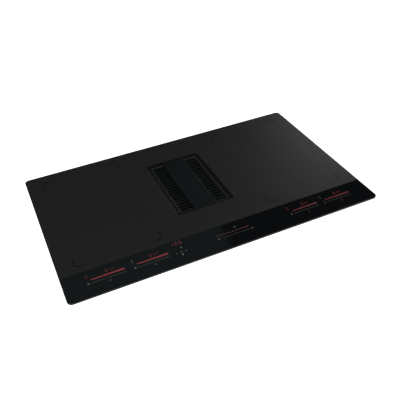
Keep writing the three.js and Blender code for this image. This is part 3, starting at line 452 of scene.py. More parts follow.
# ---------------------------------------------------------------------- shaders
class Wire:
    """A socket of a node tree, with arithmetic: each operator adds one Math node."""

    def __init__(self, net: "Net", socket: bpy.types.NodeSocket) -> None:
        """Wraps a socket.

        Args:
            net: the node tree's builder.
            socket: an output socket.
        """
        self.net = net
        self.socket = socket

    def math(self, operation: str, *values: "Wire | float") -> "Wire":
        """This value and others through a Math node.

        Args:
            operation: the node's operation.
            values: the other operands.

        Returns:
            The result.
        """
        inputs = dict(enumerate((self, *values)))
        return self.net.add("ShaderNodeMath", {"operation": operation}, inputs)

    def __add__(self, other: "Wire | float") -> "Wire":
        """Sum."""
        return self.math("ADD", other)

    __radd__ = __add__

    def __sub__(self, other: "Wire | float") -> "Wire":
        """Difference."""
        return self.math("SUBTRACT", other)

    def __rsub__(self, other: float) -> "Wire":
        """A number less this."""
        return self.net.add("ShaderNodeMath", {"operation": "SUBTRACT"}, {0: other, 1: self})

    def __mul__(self, other: "Wire | float") -> "Wire":
        """Product."""
        return self.math("MULTIPLY", other)

    __rmul__ = __mul__

    def over(self, low: float, high: float) -> "Wire":
        """This value's place between two others, held to 0 and 1."""
        inputs = {"Value": self, "From Min": low, "From Max": high}
        return self.net.add("ShaderNodeMapRange", {"clamp": True}, inputs)


class Net:
    """Builds the node tree of one finish."""

    def __init__(self, tree: bpy.types.NodeTree) -> None:
        """Takes a tree and empties it.

        Args:
            tree: the node tree.
        """
        self.tree = tree
        tree.nodes.clear()

    def add(
        self,
        kind: str,
        settings: dict[str, Any] | None = None,
        inputs: dict[int | str, Any] | None = None,
        output: int | str = 0,
    ) -> Wire:
        """One node of any type.

        Args:
            kind: the node's type.
            settings: its properties, which are set first.
            inputs: values or wires for its sockets.
            output: which output is wanted.

        Returns:
            That output.
        """
        node = self.tree.nodes.new(kind)
        for key, value in (settings or {}).items():
            setattr(node, key, value)
        for key, value in (inputs or {}).items():
            if isinstance(value, Wire):
                self.tree.links.new(value.socket, node.inputs[key])
            else:
                node.inputs[key].default_value = value
        return Wire(self, node.outputs[output] if node.outputs else None)

    def place(self, scale: Colour = (1.0, 1.0, 1.0)) -> Wire:
        """Object coordinates, multiplied by a factor along each axis.

        Args:
            scale: the three factors; a small one stretches the pattern.

        Returns:
            The place.
        """
        point = self.add("ShaderNodeTexCoord", output="Object")
        inputs = {"Vector": point, "Scale": scale}
        return self.add("ShaderNodeMapping", {"vector_type": "POINT"}, inputs)

    def height(self) -> Wire:
        """Height in the object's own frame."""
        point = self.add("ShaderNodeTexCoord", output="Object")
        return self.add("ShaderNodeSeparateXYZ", None, {"Vector": point}, "Z")

    def noise(self, place: Wire, size: float, detail: float = 3.0, rough: float = 0.5) -> Wire:
        """Cloudy noise from 0 to 1 whose clouds are about size millimetres across."""
        inputs = {"Vector": place, "Scale": 1 / (size * MM), "Detail": detail, "Roughness": rough}
        return self.add("ShaderNodeTexNoise", None, inputs)

    def cells(self, place: Wire, size: float, output: str = "Distance", feature: str = "F1") -> Wire:
        """Cells about size millimetres across: the way to their middles, or a value of their own."""
        inputs = {"Vector": place, "Scale": 1 / (size * MM)}
        return self.add("ShaderNodeTexVoronoi", {"feature": feature}, inputs, output)

    def blend(self, factor: Wire | float, first: Any, second: Any) -> Wire:
        """From the first colour to the second as the factor goes from 0 to 1."""
        inputs = {"Factor": factor, 6: first, 7: second}
        return self.add("ShaderNodeMix", {"data_type": "RGBA"}, inputs, 2)

    def seen(self) -> Wire:
        """Tells the rays that see or mirror the background from those that light the object.

        Returns:
            1 for camera, glossy and transmission rays, 0 for all others.
        """
        path = self.add("ShaderNodeLightPath", output="Is Camera Ray")
        outputs = path.socket.node.outputs
        glossy, clear = (Wire(self, outputs[f"Is {kind} Ray"]) for kind in ("Glossy", "Transmission"))
        return (path + glossy + clear).over(0.0, 1.0)

    def surface(self, shader: Wire) -> None:
        """Sends a shader to the material's output."""
        self.add("ShaderNodeOutputMaterial", None, {"Surface": shader})


def shade(colour: Colour, factor: float) -> tuple[float, float, float, float]:
    """A colour made lighter or darker by a factor, as a socket takes it."""
    return (*(min(channel * factor, 1.0) for channel in colour), 1.0)


class Grain(Enum):
    """What the surface of a finish looks like close to."""

    SATIN = "even fine grain of an etched or painted face"
    MOULDED = "spark-eroded grain of a moulding"
    BRUSHED = "fine lines along X"
    ROLLED = "mill-finish sheet with faint rolling lines along Y"
    SPANGLE = "crystals of zinc-coated sheet"
    FOAM = "open cells"
    FLAKES = "pressed flakes"
    WOUND = "strands side by side"
    SOLDERMASK = "mask over copper tracks"
    MESH = "expanded metal"


# what a grain multiplies the place by along each axis, how detailed its noise is, how many times its
# size the clouds of its tone are and how detailed, and where the edges of its cells begin and end
STRETCH = {
    Grain.BRUSHED: (0.02, 1.0, 1.0),
    Grain.ROLLED: (1.0, 0.03, 1.0),
    Grain.FLAKES: (1.0, 1.0, 4.0),
    Grain.SOLDERMASK: (1.0, 1.0, 0.01),
    Grain.MESH: (1.0, 0.6, 1.0),
}
ROLLED_STRETCH = (0.3, 0.05, 0.3)
DETAIL = {Grain.ROLLED: 3.0, Grain.WOUND: 1.0}
TONE = {Grain.SATIN: (6, 2.0), Grain.ROLLED: (8, 2.0), Grain.FOAM: (4, 3.0), Grain.WOUND: (12, 3.0)}
CELL_EDGE = {Grain.SOLDERMASK: (0.02, 0.1), Grain.MESH: (0.05, 0.25)}
GRIT = (0.35, 0.65)
SPANGLE_RELIEF = 0.3


class Dressing:
    """A finish that can make its material; the kinds below say how."""

    name: str

    def material(self) -> bpy.types.Material:
        """The material, made on the first call and found again after that.

        Returns:
            The material, titled with the finish's name.
        """
        title = f"{self.name}_surface"
        known = bpy.data.materials.get(title)
        if known is not None:
            return known
        fresh = bpy.data.materials.new(title)
        fresh.use_nodes = True
        self.build(Net(fresh.node_tree))
        return fresh

    def build(self, net: Net) -> None:
        """Fills the node tree.

        Args:
            net: the tree's builder.
        """
        raise NotImplementedError


@dataclass(frozen=True)
class Finish(Dressing):
    """A bare or coated material: a colour that comes and goes a little, and the grain of its surface."""

    name: str
    colour: Colour
    roughness: float
    grain: Grain = Grain.SATIN
    size: float = 0.5
    depth: float = 0.01
    metallic: float = 0.0
    specular: float = 0.5
    mottle: float = 0.08
    uneven: float = 0.05
    # heights in millimetres over which painted shade lifts: below the first the tone is darkest, above the
    # second it is untouched
    valley_shade: tuple[float, float] | None = None
    clouds: float = 60.0

    def build(self, net: Net) -> None:
        """Colour, roughness and relief from the grain, over broad clouds of handling and dust, and painted
        shade that darkens the tone towards the lower of two heights where they are given.

        Args:
            net: the tree's builder.
        """
        relief, tone = self.texture(net)
        clouds = net.noise(net.place(), self.clouds, 4.0, 0.6)
        tone = (tone + clouds) * 0.5
        # painted shade: the tone is multiplied down towards the lower height, darkening the pleats' valleys
        if self.valley_shade:
            low, high = self.valley_shade
            tone = tone * net.height().over(low * MM, high * MM)
        dark, light = (shade(self.colour, 1 + sign * self.mottle) for sign in (-1, 1))
        colour = net.blend(tone, dark, light)
        roughness = (clouds - 0.5) * (2 * self.uneven) + (tone - 0.5) * self.uneven + self.roughness
        bump = {"Height": relief, "Strength": 1.0, "Distance": self.depth * MM}
        inputs = {
            "Base Color": colour,
            "Roughness": roughness,
            "Metallic": self.metallic,
            "Specular IOR Level": self.specular,
            "Normal": net.add("ShaderNodeBump", None, bump),
        }
        net.surface(net.add("ShaderNodeBsdfPrincipled", None, inputs))

    def texture(self, net: Net) -> tuple[Wire, Wire]:
        """Relief and tone of the grain, both from 0 to 1.

        Args:
            net: the tree's builder.

        Returns:
            The height for the bump and the share of the lighter colour.
        """
        grain, size = self.grain, self.size
        place = net.place(STRETCH.get(grain, (1.0, 1.0, 1.0)))
        if grain in CELL_EDGE:
            edges = net.cells(place, size, "Distance", "DISTANCE_TO_EDGE").over(*CELL_EDGE[grain])
            # for expanded metal the darker cell middles are painted shade standing for the dark seen through
            # the holes; for the solder mask the tone is the mask's own
            return (edges if grain is Grain.SOLDERMASK else 1 - edges), 1 - edges
        if grain in (Grain.SPANGLE, Grain.FLAKES):
            step = net.add("ShaderNodeSeparateColor", None, {"Color": net.cells(place, size, "Color")})
            return (step if grain is Grain.FLAKES else net.noise(place, size * SPANGLE_RELIEF)), step
        foam = grain is Grain.FOAM
        fine = net.cells(place, size) if foam else net.noise(place, size, DETAIL.get(grain, 2.0))
        if grain not in TONE:
            return (fine.over(*GRIT) if grain is Grain.MOULDED else fine), fine
        times, detail = TONE[grain]
        clouds = net.place(ROLLED_STRETCH) if grain is Grain.ROLLED else place
        return fine, net.noise(clouds, size * times, detail)


@dataclass(frozen=True)
class Glow(Dressing):
    """A lit segment or icon behind the glass: an even light that is weaker at some places."""

    name: str
    colour: Colour
    strength: float = 1.0
    uneven: float = 0.25
    size: float = 3.0
    spread: tuple[float, float] = (0.3, 0.7)
    dark: Colour = (0.004, 0.004, 0.004)
    roughness: float = 0.2

    def build(self, net: Net) -> None:
        """A dark smooth face that shines in the segment's colour.

        Args:
            net: the tree's builder.
        """
        clouds = net.noise(net.place(), self.size, 2.0)
        low, high = (shade(self.colour, 1 + sign * self.uneven) for sign in (-1, 1))
        inputs = {
            "Base Color": (*self.dark, 1.0),
            "Roughness": self.roughness,
            "Emission Color": net.blend(clouds.over(*self.spread), low, high),
            "Emission Strength": self.strength,
        }
        net.surface(net.add("ShaderNodeBsdfPrincipled", None, inputs))


# finishes of the top
GLASS_GLOSS = Finish("glass_gloss", (0.0036, 0.0042, 0.0050), 0.07, size=4.0, depth=0.0005, uneven=0.01)
GLASS_MATTE = Finish("glass_matte", (0.0142, 0.0142, 0.0144), 0.37, size=0.35, depth=0.004, mottle=0.06)
GLASS_EDGE = Finish("glass_ground_edge", (0.009, 0.0095, 0.010), 0.45, size=0.3, depth=0.02, specular=0.25)
ZONE_PRINT = Finish("zone_print", (0.0008, 0.0008, 0.0008), 0.5, size=0.3, depth=0.002, specular=0.15)
COLLAR_BLACK = Finish("collar_black", (0.0046, 0.0053, 0.0058), 0.40, depth=0.006, specular=0.35)
# the lip's lighter colour is a painted highlight along the mouth's rim, added to the real glint of its
# smoother, more specular face
LIP_PAINTED_HIGHLIGHT = Finish("collar_lip_painted_highlight", (0.042, 0.042, 0.045), 0.22, depth=0.004, specular=0.8)
GRILLE_BLACK = Finish("grille_black", (0.0036, 0.0052, 0.0062), 0.40, size=0.6, specular=0.35)
PLATE_BLACK = Finish("plate_black", (0.0053, 0.0068, 0.0078), 0.34, depth=0.003, specular=0.4)
FOAM = Finish("seal_foam", (0.02, 0.02, 0.02), 0.9, Grain.FOAM, 0.7, 0.15)
LED_RED = Glow("led_red", (0.225, 0.034, 0.040))
LED_SOFT = Glow("led_red_soft", (0.120, 0.024, 0.028))
LED_DEEP = Glow("led_red_deep", (0.19, 0.034, 0.042))
LED_DIM = Glow("led_red_dim", (0.13, 0.018, 0.022))
LED_ROSE = Glow("led_rose", (0.066, 0.036, 0.037))
LED_WARM = Glow("led_warm", (0.085, 0.024, 0.027))
ICON_WHITE = Glow("icon_white", (0.20, 0.20, 0.19))
ICON_SOFT = Glow("icon_soft", (0.115, 0.105, 0.108))
ICON_DIM = Glow("icon_dim", (0.085, 0.086, 0.074))

# finishes of the housing and what it holds
FINISHES = {
    "galvanised": Finish(
        "zinc_coated_sheet", (0.21, 0.22, 0.228), 0.40, Grain.SPANGLE, 11.0, 0.01, 0.85, mottle=0.4
    ),
    "black_plastic": Finish("black_moulding", (0.018, 0.019, 0.020), 0.52, Grain.MOULDED, 0.5, 0.02),
    "grey_plastic": Finish("grey_moulding", (0.09, 0.095, 0.10), 0.55, Grain.MOULDED, 0.6, 0.02),
    "steel": Finish("brushed_steel", (0.34, 0.345, 0.35), 0.33, Grain.BRUSHED, 0.4, 0.006, 1.0),
    # the filter's pleat valleys get painted shade between the two heights given here
    "filter_aluminium": Finish(
        "filter_fleece", (0.27, 0.275, 0.28), 0.38, Grain.MESH, 3.2, 0.22, 0.9, mottle=0.9, valley_shade=(161, 175)
    ),
    "aluminium": Finish("rolled_aluminium", (0.58, 0.59, 0.60), 0.36, Grain.ROLLED, 0.5, 0.008, 0.95),
    "copper": Finish("enamelled_copper", (0.42, 0.13, 0.055), 0.34, Grain.WOUND, 0.8, 0.06, 0.85, mottle=0.2),
    "ferrite": Finish("pressed_ferrite", (0.034, 0.03, 0.028), 0.75, Grain.MOULDED, 0.4, 0.05, mottle=0.2),
    "sensor_white": Finish("sensor_ceramic", (0.66, 0.66, 0.63), 0.4, size=0.6),
    "mica": Finish("mica_flakes", (0.50, 0.43, 0.29), 0.55, Grain.FLAKES, 6.0, 0.03, mottle=0.2),
    "circuit": Finish("green_circuit", (0.020, 0.10, 0.042), 0.35, Grain.SOLDERMASK, 7.0, 0.04, mottle=0.35),
    "light_guide": Finish("milky_guide", (0.62, 0.63, 0.65), 0.25, size=2.0, depth=0.004),
}


def dress(piece: bpy.types.Object, body: str, slot: str, *nodes: str) -> None:
    """Lets a piece ride on a body and stand for CAD nodes.

    Args:
        piece: the finished piece.
        body: the body's name.
        slot: the record's material slot; not used.
        nodes: the nodes that it replaces.
    """
    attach(piece, body)
    if nodes:
        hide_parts(*nodes)
    LOG.info("%s: %d faces, rides on %s", piece.name, len(piece.data.polygons), body)


def fit(skin: Skin, name: str, slot: str, *nodes: str, body: str = "hob") -> None:
    """Makes a piece in its slot's own finish, and dresses it.

    Args:
        skin: its surfaces.
        name: the piece's name.
        slot: the record's material slot.
        nodes: the nodes that it replaces.
        body: the body that it rides on.
    """
    dress(skin.make(name, FINISHES[slot]), body, slot, *nodes)


# ---------------------------------------------------------------------- glass top
@dataclass
class GlassTop:
    """The glass, its matte coat, the seal under its edge and the corner marks of the zones."""

    pane: Outline = Outline(830, 515, 12)
    opening: Outline = Outline(162, 251, 7, -2.5, 38)
    corner_steps: int = 10
    top: float = 213.90
    bottom: float = 210.0
    arris: float = 0.8
    arris_steps: int = 5
    chamfer: float = 0.5
    coat: float = 0.04
    coat_margin: float = 1.5
    coat_front_r: float = 0.3
    hole_margin: float = 0.9
    band_y: float = -172.5
    seal_inset: float = 1.0
    seal_w: float = 9.0
    seal_edge: float = 0.6
    seal_z: tuple[float, float] = (208.0, 209.7)

    def build(self) -> None:
        """Makes the four pieces."""
        self.make_pane()
        self.make_coat()
        self.make_seal()
        ZoneMarks().build()

    def rim(self, outline: Outline, sign: int) -> list[np.ndarray]:
        """The edge of the pane: a polished quarter round above, a ground wall, a small chamfer below.

        Args:
            outline: the pane's outline or the opening's.
            sign: 1 if the glass lies inside the outline, -1 if it lies outside.

        Returns:
            Rings from the top face down to the bottom face.
        """
        bend = outline.edge(self.top, self.arris, self.arris_steps, sign)
        foot = (outline.inset(sign * self.chamfer), self.bottom)
        return rings([*bend, (outline, self.bottom + self.chamfer), foot], self.corner_steps)

    def make_pane(self) -> None:
        """The glass: its edge carried round the pane, and back round the opening, which is etched."""
        outer, inner = np.stack(self.rim(self.pane, 1)), np.stack(self.rim(self.opening, -1)[::-1])
        skin = Skin()
        for i in range(len(outer) - 1):
            skin.sheet(outer[[i + 1, i]], around=True, slot=int(i >= self.arris_steps))
        for i in range(len(inner) - 1):
            skin.sheet(inner[[i + 1, i]], around=True, slot=2)
        skin.sheet(np.stack([outer[0], inner[-1]]), around=True, soft=False)
        skin.sheet(np.stack([inner[0], outer[-1]]), around=True, soft=False)
        piece = skin.make("glass_pane", GLASS_GLOSS, GLASS_EDGE, GLASS_MATTE)
        dress(piece, "hob", "glass", "glass_top")

    def make_coat(self) -> None:
        """The etched matte face behind the control band, a film that leaves the rims bare."""
        reach = self.pane.inset(self.coat_margin)
        back, front = reach.d / 2, self.band_y
        film = Outline(reach.w, back - front, reach.r, 0, (back + front) / 2)
        hole = self.opening.inset(-self.hole_margin)
        low, high = self.top - self.coat / 2, self.top + self.coat
        outside = [self.square_front(film, z) for z in (low, high)]
        inside = [hole.ring(z, self.corner_steps) for z in (high, low)]
        skin = Skin()
        skin.sheet(np.stack([*outside, *inside]), around=True, closed=True, soft=False)
        dress(skin.make("glass_matte_coat", GLASS_MATTE), "hob", "glass")

    def square_front(self, film: Outline, z: float) -> np.ndarray:
        """A ring whose back corners are round and whose front corners are nearly square.

        Args:
            film: the outline.
            z: its height.

        Returns:
            The ring, with as many points as any other.
        """
        ring = film.ring(z, self.corner_steps)
        sharp = Outline(film.w, film.d, self.coat_front_r, film.x, film.y).ring(z, self.corner_steps)
        front = ring[:, 1] < film.y
        ring[front] = sharp[front]
        return ring

    def make_seal(self) -> None:
        """The foam strip under the rim: a square section with rounded lower corners."""
        outer = self.pane.inset(self.seal_inset)
        inner = outer.inset(self.seal_w)
        z0, z1 = self.seal_z
        r, bend = self.seal_edge, 0.3 * self.seal_edge
        outside = [(outer, z1), (outer, z0 + r), (outer.inset(bend), z0 + bend), (outer.inset(r), z0)]
        skin = Skin()
        skin.sweep(rings([(inner, z1), *outside, (inner.inset(-r), z0), (inner, z0 + r)]), flat=(0, 4))
        dress(skin.make("foam_seal", FOAM), "hob", "seal_foam", "glass_seal")


@dataclass
class ZoneMarks:
    """Rounded corner marks of the two cooking areas, printed on the matte face."""

    zones: tuple[tuple[float, float], ...] = ((-262.0, 110.0), (262.0, 111.0))
    front: float = -151.0
    back: float = 222.0
    leg: float = 30.0
    foot: float = 28.0
    r: float = 12.0
    w: float = 2.1
    z: tuple[float, float] = (213.93, 213.965)

    def build(self) -> None:
        """One piece with the four corners of each zone."""
        skin = Skin()
        for middle, half in self.zones:
            for sx in (-1, 1):
                for sy in (-1, 1):
                    skin.prism(self.corner(middle, half, sx, sy), *self.z)
        dress(skin.make("zone_marks", ZONE_PRINT), "hob", "glass")

    def corner(self, middle: float, half: float, sx: int, sy: int) -> np.ndarray:
        """One mark: a line of even width along a leg, round a quarter circle and along a foot.

        Args:
            middle: the zone's middle in x.
            half: half of the zone's width.
            sx: which side.
            sy: which end.

        Returns:
            Its outline, anticlockwise.
        """
        inner, outer = self.r - self.w / 2, self.r + self.w / 2
        foot, leg = self.r - self.foot, self.r - self.leg
        line = [(foot, outer), *arc(0, 0, outer, 90, 0, steps=8), (outer, leg)]
        line += [(inner, leg), *arc(0, 0, inner, 0, 90, steps=8), (foot, inner)]
        corner = (middle + sx * half, self.back if sy > 0 else self.front)
        points = np.array(corner) + (np.array(line) - self.r) * (sx, sy)
        return points[::-1] if sx * sy > 0 else points


# ---------------------------------------------------------------------- intake
@dataclass
class Intake:
    """The sloped ledge in the opening, the slotted grille in it and the plate over its middle."""

    opening: Outline = Outline(162, 251, 7, -2.5, 38)
    mouth: Outline = Outline(137, 220, 5, -2.5, 38)
    gap: float = 0.3
    under_glass: float = 209.7
    flange: float = 14.0
    flange_t: float = 3.3
    wall: float = 6.5
    ledge_z: float = 211.0
    bend: Points = ((0.0, 0.6), (0.2, 0.15), (0.7, 0.0))
    slope: float = 0.8
    seat_z: float = 203.3
    seat_w: float = 3.0
    seat_t: float = 3.0
    seat_edge: float = 0.5
    lip: float = 1.0
    grille_t: float = 5.8
    grille_edge: float = 0.8
    rim: float = 3.2
    slot_w: float = 33.0
    slot_d: float = 7.2
    pitch: float = 12.8
    slots: int = 17
    slat_drop: float = 0.3
    slat_edge: float = 1.2
    overlap: float = 1.0
    plate: Outline = Outline(64, 249.8, 2.5, -2.5, 38)
    plate_top: float = 213.6
    plate_t: float = 2.2
    plate_edge: float = 0.9
    plate_chamfer: float = 0.3
    boss_r: float = 4.0
    boss_edge: float = 0.4
    boss_sink: float = 0.2
    boss_pitch: float = 60.0
    bosses: int = 4

    def build(self) -> None:
        """Makes the three pieces."""
        self.make_collar()
        self.make_grille()
        self.make_plate()

    def make_collar(self) -> None:
        """The pressed ledge: its section goes round the mouth, with a rolled lip in a lighter finish whose
        colour is a painted highlight, and a soft outer bend.
        """
        outer = self.opening.inset(self.gap)
        flange = self.opening.inset(-self.flange)
        wall = self.mouth.inset(-self.wall)
        seat = self.mouth.inset(self.seat_w)
        seat_under, flange_under = self.seat_z - self.seat_t, self.under_glass - self.flange_t
        sections = [
            (outer, self.under_glass),
            *[(outer.inset(by), self.ledge_z - drop) for by, drop in self.bend],
            *self.mouth.edge(self.ledge_z - self.slope, self.lip, steps=5, sign=-1),
            (self.mouth, self.seat_z + self.seat_edge),
            (self.mouth.inset(self.seat_edge), self.seat_z),
            (seat, self.seat_z),
            (seat, seat_under),
            (wall, seat_under),
            (wall, flange_under),
            (flange, flange_under),
            (flange, self.under_glass),
        ]
        # the lip's bands take the finish whose lighter colour is a painted highlight
        flat_bands, painted_highlight_bands = (0, 1, 2, 3, 4, 5, 6, 13), range(8, 13)
        skin = Skin()
        skin.sweep(rings(sections[::-1]), flat=flat_bands, slots=dict.fromkeys(painted_highlight_bands, 1))
        dress(skin.make("collar_ledge", COLLAR_BLACK, LIP_PAINTED_HIGHLIGHT), "hob", "collar_black", "intake_collar")

    def make_grille(self) -> None:
        """The grille: a rim swept round the mouth, a middle rail, and slats with a rounded back across."""
        z0 = self.seat_z + self.gap
        z1 = z0 + self.grille_t
        outer = self.mouth.inset(self.gap)
        inner = outer.inset(self.rim)
        r = self.grille_edge
        back = [*outer.edge(z1, r, steps=4)[::-1], *inner.edge(z1, r, steps=4, sign=-1)]
        sections = [*back, (inner, z0), (outer, z0)]
        skin = Skin()
        skin.sweep(rings(sections[::-1]), flat=(0,))
        x, y = self.mouth.x, self.mouth.y
        middle = inner.w / 2 - self.slot_w
        reach = inner.d / 2 + self.overlap
        skin.rail((x, y - reach, z0), (x, y + reach, z0), UP, 2 * middle, self.grille_t, r)
        near, far = middle - self.overlap, inner.w / 2 + self.overlap
        slat = (self.pitch - self.slot_d, self.grille_t - self.slat_drop, self.slat_edge)
        for i in range(self.slots + 1):
            across = y + (i - self.slots / 2) * self.pitch
            for side in (-1, 1):
                skin.rail((x + side * near, across, z0), (x + side * far, across, z0), UP, *slat)
        dress(skin.make("slotted_grille", GRILLE_BLACK), "grille", "grille_black", "grille_frame")

    def make_plate(self) -> None:
        """The centre plate: a flat sheet with a soft round edge, and the bosses that it stands on."""
        chamfer = self.plate_chamfer
        z0 = self.plate_top - self.plate_t
        edge = self.plate.edge(self.plate_top, self.plate_edge, steps=5)
        sections = [*edge, (self.plate, z0 + chamfer), (self.plate.inset(chamfer), z0)]
        sheet = rings(sections[::-1], steps=6)
        skin = Skin()
        skin.sheet(np.stack(sheet), around=True)
        skin.cap(sheet[-1])
        skin.cap(sheet[0], up=False)
        foot = self.seat_z + self.gap + self.grille_t + self.gap
        r, e, top = self.boss_r, self.boss_edge, z0 + self.boss_sink
        for i in range(self.bosses):
            y = self.plate.y + (i - (self.bosses - 1) / 2) * self.boss_pitch
            boss = [(0, foot), (r - e, foot), (r, foot + e), (r, top), (0, top)]
            skin.turned(boss, sides=24, centre=(self.plate.x, y))
        dress(skin.make("centre_plate", PLATE_BLACK), "grille", "plate_black", "grille_centre_plate")


# ---------------------------------------------------------------------- display
SIGN_LINE = 0.18


class Glyph(Enum):
    """Small generic signs of the touch keys.

    Each is the (x, y, w, h) of its bars, and then those of its rings, in a box of one.
    """

    PLUS = (((0, 0, 1, SIGN_LINE), (0, 0.3, SIGN_LINE, 0.38), (0, -0.3, SIGN_LINE, 0.38)), ())
    MINUS = (((0, 0, 1, SIGN_LINE),), ())
    PAUSE = (((-0.22, 0, 1.3 * SIGN_LINE, 1), (0.22, 0, 1.3 * SIGN_LINE, 1)), ())
    OVAL = ((), ((0, 0, 1.7, 0.8),))
    CLOCK = (((0, 0.14, SIGN_LINE, 0.26),), ((0, 0, 1, 1),))
    LOCK = (((0, -0.2, 0.9, 0.55),), ((0, 0.28, 0.6, 0.6),))


Sign = tuple[Glyph, float, float, float]
Row = tuple[float, float, float, int, float, float]

# each segment's x in the figure's width, its y in half the height, and whether it stands upright
SEGMENTS = {
    "a": (0.0, 1.0, False),
    "b": (0.5, 0.5, True),
    "c": (0.5, -0.5, True),
    "d": (0.0, -1.0, False),
    "e": (-0.5, -0.5, True),
    "f": (-0.5, 0.5, True),
    "g": (0.0, 0.0, False),
}
DIGITS = {"0": "abcdef", "1": "bc", "2": "abged"}


class Ink:
    """Flat signs on the glass: thin bars, rings and digits of one finish."""

    thickness: float = 0.02
    segment_gap: float = 0.3
    oval_sides: int = 20

    def __init__(self, z: float) -> None:
        """Starts a layer on a face at height z."""
        self.skin = Skin()
        self.z = (z, z + self.thickness)

    def bar(self, x: float, y: float, w: float, h: float) -> None:
        """An upright rectangle with its middle at (x, y)."""
        low, high = self.z
        self.skin.boxes((x - w / 2, y - h / 2, low), (x + w / 2, y + h / 2, high))

    def row(
        self, x0: float, x1: float, y: float, count: int, gap: float, h: float, last: float = 0.0
    ) -> None:
        """Bars side by side between two ends, whose height grows evenly to that of the last.

        Args:
            x0: left end.
            x1: right end.
            y: the middle line.
            count: how many bars.
            gap: the space between two of them.
            h: height of the first bar.
            last: height of the last bar; 0 makes it that of the first.
        """
        pitch = (x1 - x0 + gap) / count
        left = x0 + pitch * np.arange(count)
        half = np.linspace(h, last or h, count) / 2
        low, high = (np.full(count, z) for z in self.z)
        self.skin.boxes(
            np.column_stack([left, y - half, low]), np.column_stack([left + pitch - gap, y + half, high])
        )

    def oval(self, x: float, y: float, w: float, h: float, line: float) -> None:
        """A ring: an ellipse's band of even width, as a closed thin tube of square section.

        Args:
            x: its middle.
            y: its middle.
            w: width over all.
            h: height over all.
            line: the band's width.
        """
        angle = np.linspace(0, TURN, self.oval_sides, endpoint=False)
        unit = np.column_stack([np.cos(angle), np.sin(angle)])
        half = np.array([w, h]) / 2
        low, high = self.z
        loop = []
        for size, z in ((half, low), (half, high), (half - line, high), (half - line, low)):
            flat = np.array([x, y]) + unit * size
            loop.append(np.column_stack([flat, np.full(len(flat), z)]))
        self.skin.sheet(np.stack(loop), around=True, closed=True, soft=False)

    def digit(self, text: str, x: float, y: float, h: float, w: float, line: float) -> None:
        """A seven-segment figure with its middle at (x, y).

        Args:
            text: the figure.
            x: its middle.
            y: its middle.
            h: height over all.
            w: width over all.
            line: the segments' width.
        """
        half = (h - line) / 2
        for name in DIGITS[text]:
            across, up, upright = SEGMENTS[name]
            length = (half if upright else w - line) - self.segment_gap
            size = (line, length) if upright else (length, line)
            self.bar(x + across * (w - line), y + up * half, *size)

    def glyph(self, kind: Glyph, x: float, y: float, size: float) -> None:
        """One small sign.

        Args:
            kind: which sign.
            x: its middle.
            y: its middle.
            size: side of its box.
        """
        bars, ovals = (size * np.array(shapes).reshape(-1, 4) + (x, y, 0, 0) for shapes in kind.value)
        for bar in bars:
            self.bar(*bar)
        for oval in ovals:
            self.oval(*oval, size * SIGN_LINE)

    def make(self, name: str, finish: Glow) -> None:
        """Makes the layer a piece on the hob."""
        dress(self.skin.make(name, finish), "hob", "light_guide")


@dataclass(frozen=True)
class Slider:
    """One power slider: its lit bar's ends, and the middles of its keys, digit and icon, all in x."""

    name: str
    x0: float
    x1: float
    keys_x: float
    digit_x: float
    icon_x: float
    keys_lit: bool
    bright: bool


